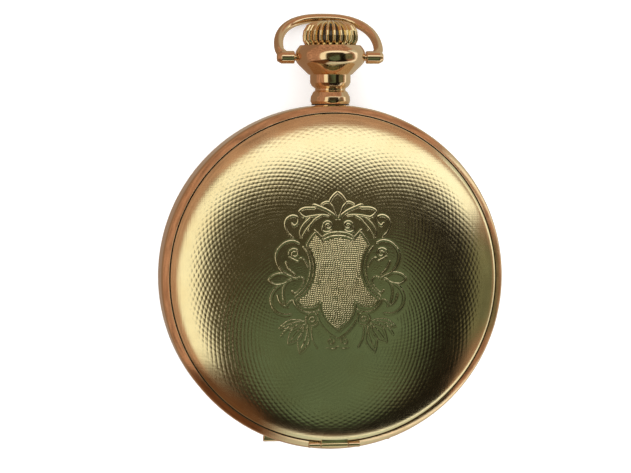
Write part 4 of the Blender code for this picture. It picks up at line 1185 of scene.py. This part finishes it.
COPPER = (0.44, 0.25, 0.165)
PALE = (0.58, 0.60, 0.50)
GREEN = (0.100, 0.135, 0.080)
PANEL = (1.22, 1.18, 1.02)
WARM_PANEL = (1.06, 1.00, 0.78)
NIGHT = (0.010, 0.008, 0.005)
OVERHEAD = (0.045, 0.040, 0.024)
GROUND_LEFT = (0.30, 0.19, 0.125)
GROUND_RIGHT = (0.50, 0.44, 0.34)
SOFT_LIGHT = (1.35, 1.35, 1.35)
BACKDROP = (0.93, 0.93, 0.93)
SURROUNDINGS = [
    # what lies each way round the watch: low corner, high corner, softness, colour; painted in order
    ((-0.30, -0.06), (0.36, 0.30), 0.06, (0.048, 0.040, 0.021)),
    ((-0.34, -0.50), (-0.08, -0.05), 0.05, (0.042, 0.028, 0.012)),
    ((0.40, -0.60), (0.70, 0.22), 0.06, NIGHT),
    ((-0.30, -0.82), (0.70, -0.54), 0.04, NIGHT),
    ((0.68, -0.33), (0.95, 0.10), 0.05, (0.15, 0.15, 0.085)),
    ((-1.20, -1.20), (-0.20, -0.60), 0.05, (0.12, 0.050, 0.022)),
    ((-1.20, -0.56), (-0.50, 1.20), 0.03, COPPER),
    ((-1.20, 0.45), (0.80, 1.20), 0.03, COPPER),
]


def oval(tree, x, y, middle, half, power=2.0):
    """One on an oval's edge and more outside it; a high power makes it a round-cornered box."""
    terms = []
    for value, at, size in zip((x, y), middle, half):
        away = maths(tree, "ABSOLUTE", maths(tree, "SUBTRACT", value, at))
        terms.append(maths(tree, "POWER", maths(tree, "DIVIDE", away, size), power))
    return maths(tree, "ADD", *terms)


def slant(tree, value, other, share):
    """The value less a share of the other; its steps are slanting lines."""
    return maths(tree, "SUBTRACT", value, maths(tree, "MULTIPLY", other, share))


def green_wall(tree, x, y):
    """A green oval below the middle, cut off by a slanting upper edge."""
    outside = soft_step(tree, oval(tree, x, y, (0.11, -0.27), (0.29, 0.41)), 0.65, 1.35)
    above = soft_step(tree, slant(tree, y, x, 0.35), -0.17, -0.03)
    return product(tree, inverse(tree, outside), inverse(tree, above))


def pale_rim(tree, x, y):
    """Light round the lower right: where it starts, and where it turns from bright to pale."""
    away = oval(tree, x, y, (0.12, -0.05), (0.87, 0.81))
    side = soft_step(tree, slant(tree, x, y, 0.6), 0.30, 0.50)
    start = product(tree, soft_step(tree, away, 0.97, 1.03), side)
    return start, soft_step(tree, away, 1.04, 1.12)


def panel_arc(tree, x, y):
    """The bright panel bends round the top and left, and is open towards the lower right."""
    beyond_box = soft_step(tree, oval(tree, x, y, (0.15, -0.10), (0.53, 0.41), 3.4), 0.75, 1.35)
    beyond_oval = soft_step(tree, oval(tree, x, y, (0.15, -0.10), (0.84, 0.73)), 0.90, 1.06)
    above = soft_step(tree, slant(tree, y, x, 0.54), -0.27, -0.16)
    return product(tree, product(tree, beyond_box, inverse(tree, beyond_oval)), above)


def clouded(tree, direction, colour):
    cloud = add(tree, "ShaderNodeTexNoise", {"Vector": direction, "Scale": 13.0, "Detail": 2.0})
    strength = ramp(tree, cloud.outputs["Fac"], 0.36, 0.64, 0.55, 1.45)
    return add(tree, "ShaderNodeVectorMath", {0: colour, 3: strength}, operation="SCALE").outputs["Vector"]


def world():
    """What the metal mirrors, painted by direction; all else sees plain light."""
    made = bpy.data.worlds.new("studio")
    bpy.context.scene.world = made
    made.use_nodes = True
    tree = made.node_tree
    direction = add(tree, "ShaderNodeTexCoord").outputs["Generated"]
    parts = add(tree, "ShaderNodeSeparateXYZ", {"Vector": direction})
    x, y, z = parts.outputs
    colour = blend(tree, soft_step(tree, z, 0.0, 1.0), COPPER, OVERHEAD)
    for low, high, soft, tint in SURROUNDINGS:
        colour = blend(tree, patch(tree, x, y, low, high, soft), colour, tint)
    colour = blend(tree, green_wall(tree, x, y), colour, GREEN)
    colour = clouded(tree, direction, colour)
    start, turn = pale_rim(tree, x, y)
    colour = blend(tree, start, colour, blend(tree, turn, PANEL, PALE))
    panel = blend(tree, soft_step(tree, x, -0.55, 0.05), WARM_PANEL, PANEL)
    colour = blend(tree, panel_arc(tree, x, y), colour, panel)
    ground = blend(tree, soft_step(tree, x, -0.25, 0.35), GROUND_LEFT, GROUND_RIGHT)
    colour = blend(tree, soft_step(tree, z, 0.02, -0.1), colour, ground)
    ray = add(tree, "ShaderNodeLightPath").outputs
    plain = maths(tree, "MAXIMUM", ray["Is Diffuse Ray"], ray["Is Transmission Ray"])
    colour = blend(tree, plain, colour, SOFT_LIGHT)
    colour = blend(tree, ray["Is Camera Ray"], colour, BACKDROP)
    tree.links.new(colour, tree.nodes["Background"].inputs["Color"])


def lamp(name, place, size, power):
    """A square lamp that shines on the watch but is not mirrored in it."""
    data = bpy.data.lights.new(name, "AREA")
    data.size = size
    data.energy = power
    obj = linked(name, data)
    obj.location = place
    obj.rotation_euler = Vector(place).to_track_quat("Z", "Y").to_euler()
    obj.visible_camera = False
    obj.visible_glossy = False


def floor():
    """White paper under the watch, lit a little from within."""
    mesh = bpy.data.meshes.new("floor")
    far = 3.0
    mesh.from_pydata([(-far, -far, 0), (far, -far, 0), (far, far, 0), (-far, far, 0)], [], [(0, 1, 2, 3)])
    obj = linked("floor", mesh)
    obj.location.z = -0.05 * MM
    material, _, shader = started("paper", BACKDROP, 0, 0.9)
    shader.inputs["Emission Color"].default_value = (1, 1, 1, 1)
    shader.inputs["Emission Strength"].default_value = 0.3
    mesh.materials.append(material)
    obj.visible_glossy = False


def studio():
    bpy.context.scene.view_settings.view_transform = "Standard"
    world()
    lamp("key", (-0.5, 0.6, 1.1), size=0.9, power=4)
    lamp("fill", (0.8, -0.5, 1.0), size=1.2, power=1.5)
    floor()
    camera()


GOLD = metal("gold", (0.90, 0.76, 0.46), (0.84, 0.66, 0.38), 0.13, scratch=0.12)
DOME_GOLD = metal("engraved_gold", (0.93, 0.83, 0.55), (0.90, 0.77, 0.48), 0.16, 0.03, scratch=0.3)
CROWN_GOLD = metal("crown_gold", (0.92, 0.78, 0.48), (0.84, 0.66, 0.38), 0.16, scratch=0.2)
CUVETTE_GOLD = metal("cuvette_gold", (0.90, 0.76, 0.46), (0.86, 0.68, 0.40), 0.12, scratch=0.15)
# Near-black stand-in for shade: painted shade in the case seam, round the pendant's foot and in the crown's
# flutes.
PAINTED_SHADE = enamel("painted_shade", (0.020, 0.014, 0.008), (0.05, 0.035, 0.02))
GLASS = glass("watch_glass", (0.98, 0.99, 1.0))
ENAMEL = enamel("white_enamel", (0.86, 0.85, 0.80), (0.78, 0.75, 0.66))
PRINT = enamel("black_print", (0.012, 0.012, 0.014), (0.03, 0.03, 0.032))
BLUED = metal("blued_steel", (0.03, 0.06, 0.28), (0.07, 0.05, 0.22), 0.2, scratch=0.15)
NICKEL = metal("striped_nickel", (0.72, 0.71, 0.67), (0.62, 0.60, 0.54), 0.24, scratch=0.12, stripes=0.0013)
FROSTED = metal("frosted_gilt", (0.80, 0.62, 0.34), (0.70, 0.50, 0.26), 0.38, scratch=0.3, grain=16000)
BRASS = metal("brass", (0.84, 0.66, 0.34), (0.72, 0.52, 0.25), 0.22, scratch=0.25)
GILT = metal("gilt_balance", (0.88, 0.70, 0.36), (0.78, 0.58, 0.28), 0.16)
STEEL = metal("polished_steel", (0.62, 0.62, 0.62), (0.50, 0.48, 0.45), 0.2, scratch=0.25)
RUBY = glass("ruby", (0.62, 0.02, 0.09))
ROSE = metal("rose_gold", (0.88, 0.69, 0.46), (0.80, 0.58, 0.36), 0.12)

front_cover()
back_cover()
cuvette()
band()
barrels()
hinge_pins()
pendant()
bow()
crown()
bezel()
crystal()
dial_plate()
dial_print()
seconds_print()
hands()
for finish, nodes in finishes().items():
    for node in nodes.split():
        dress(node, finish)
studio()
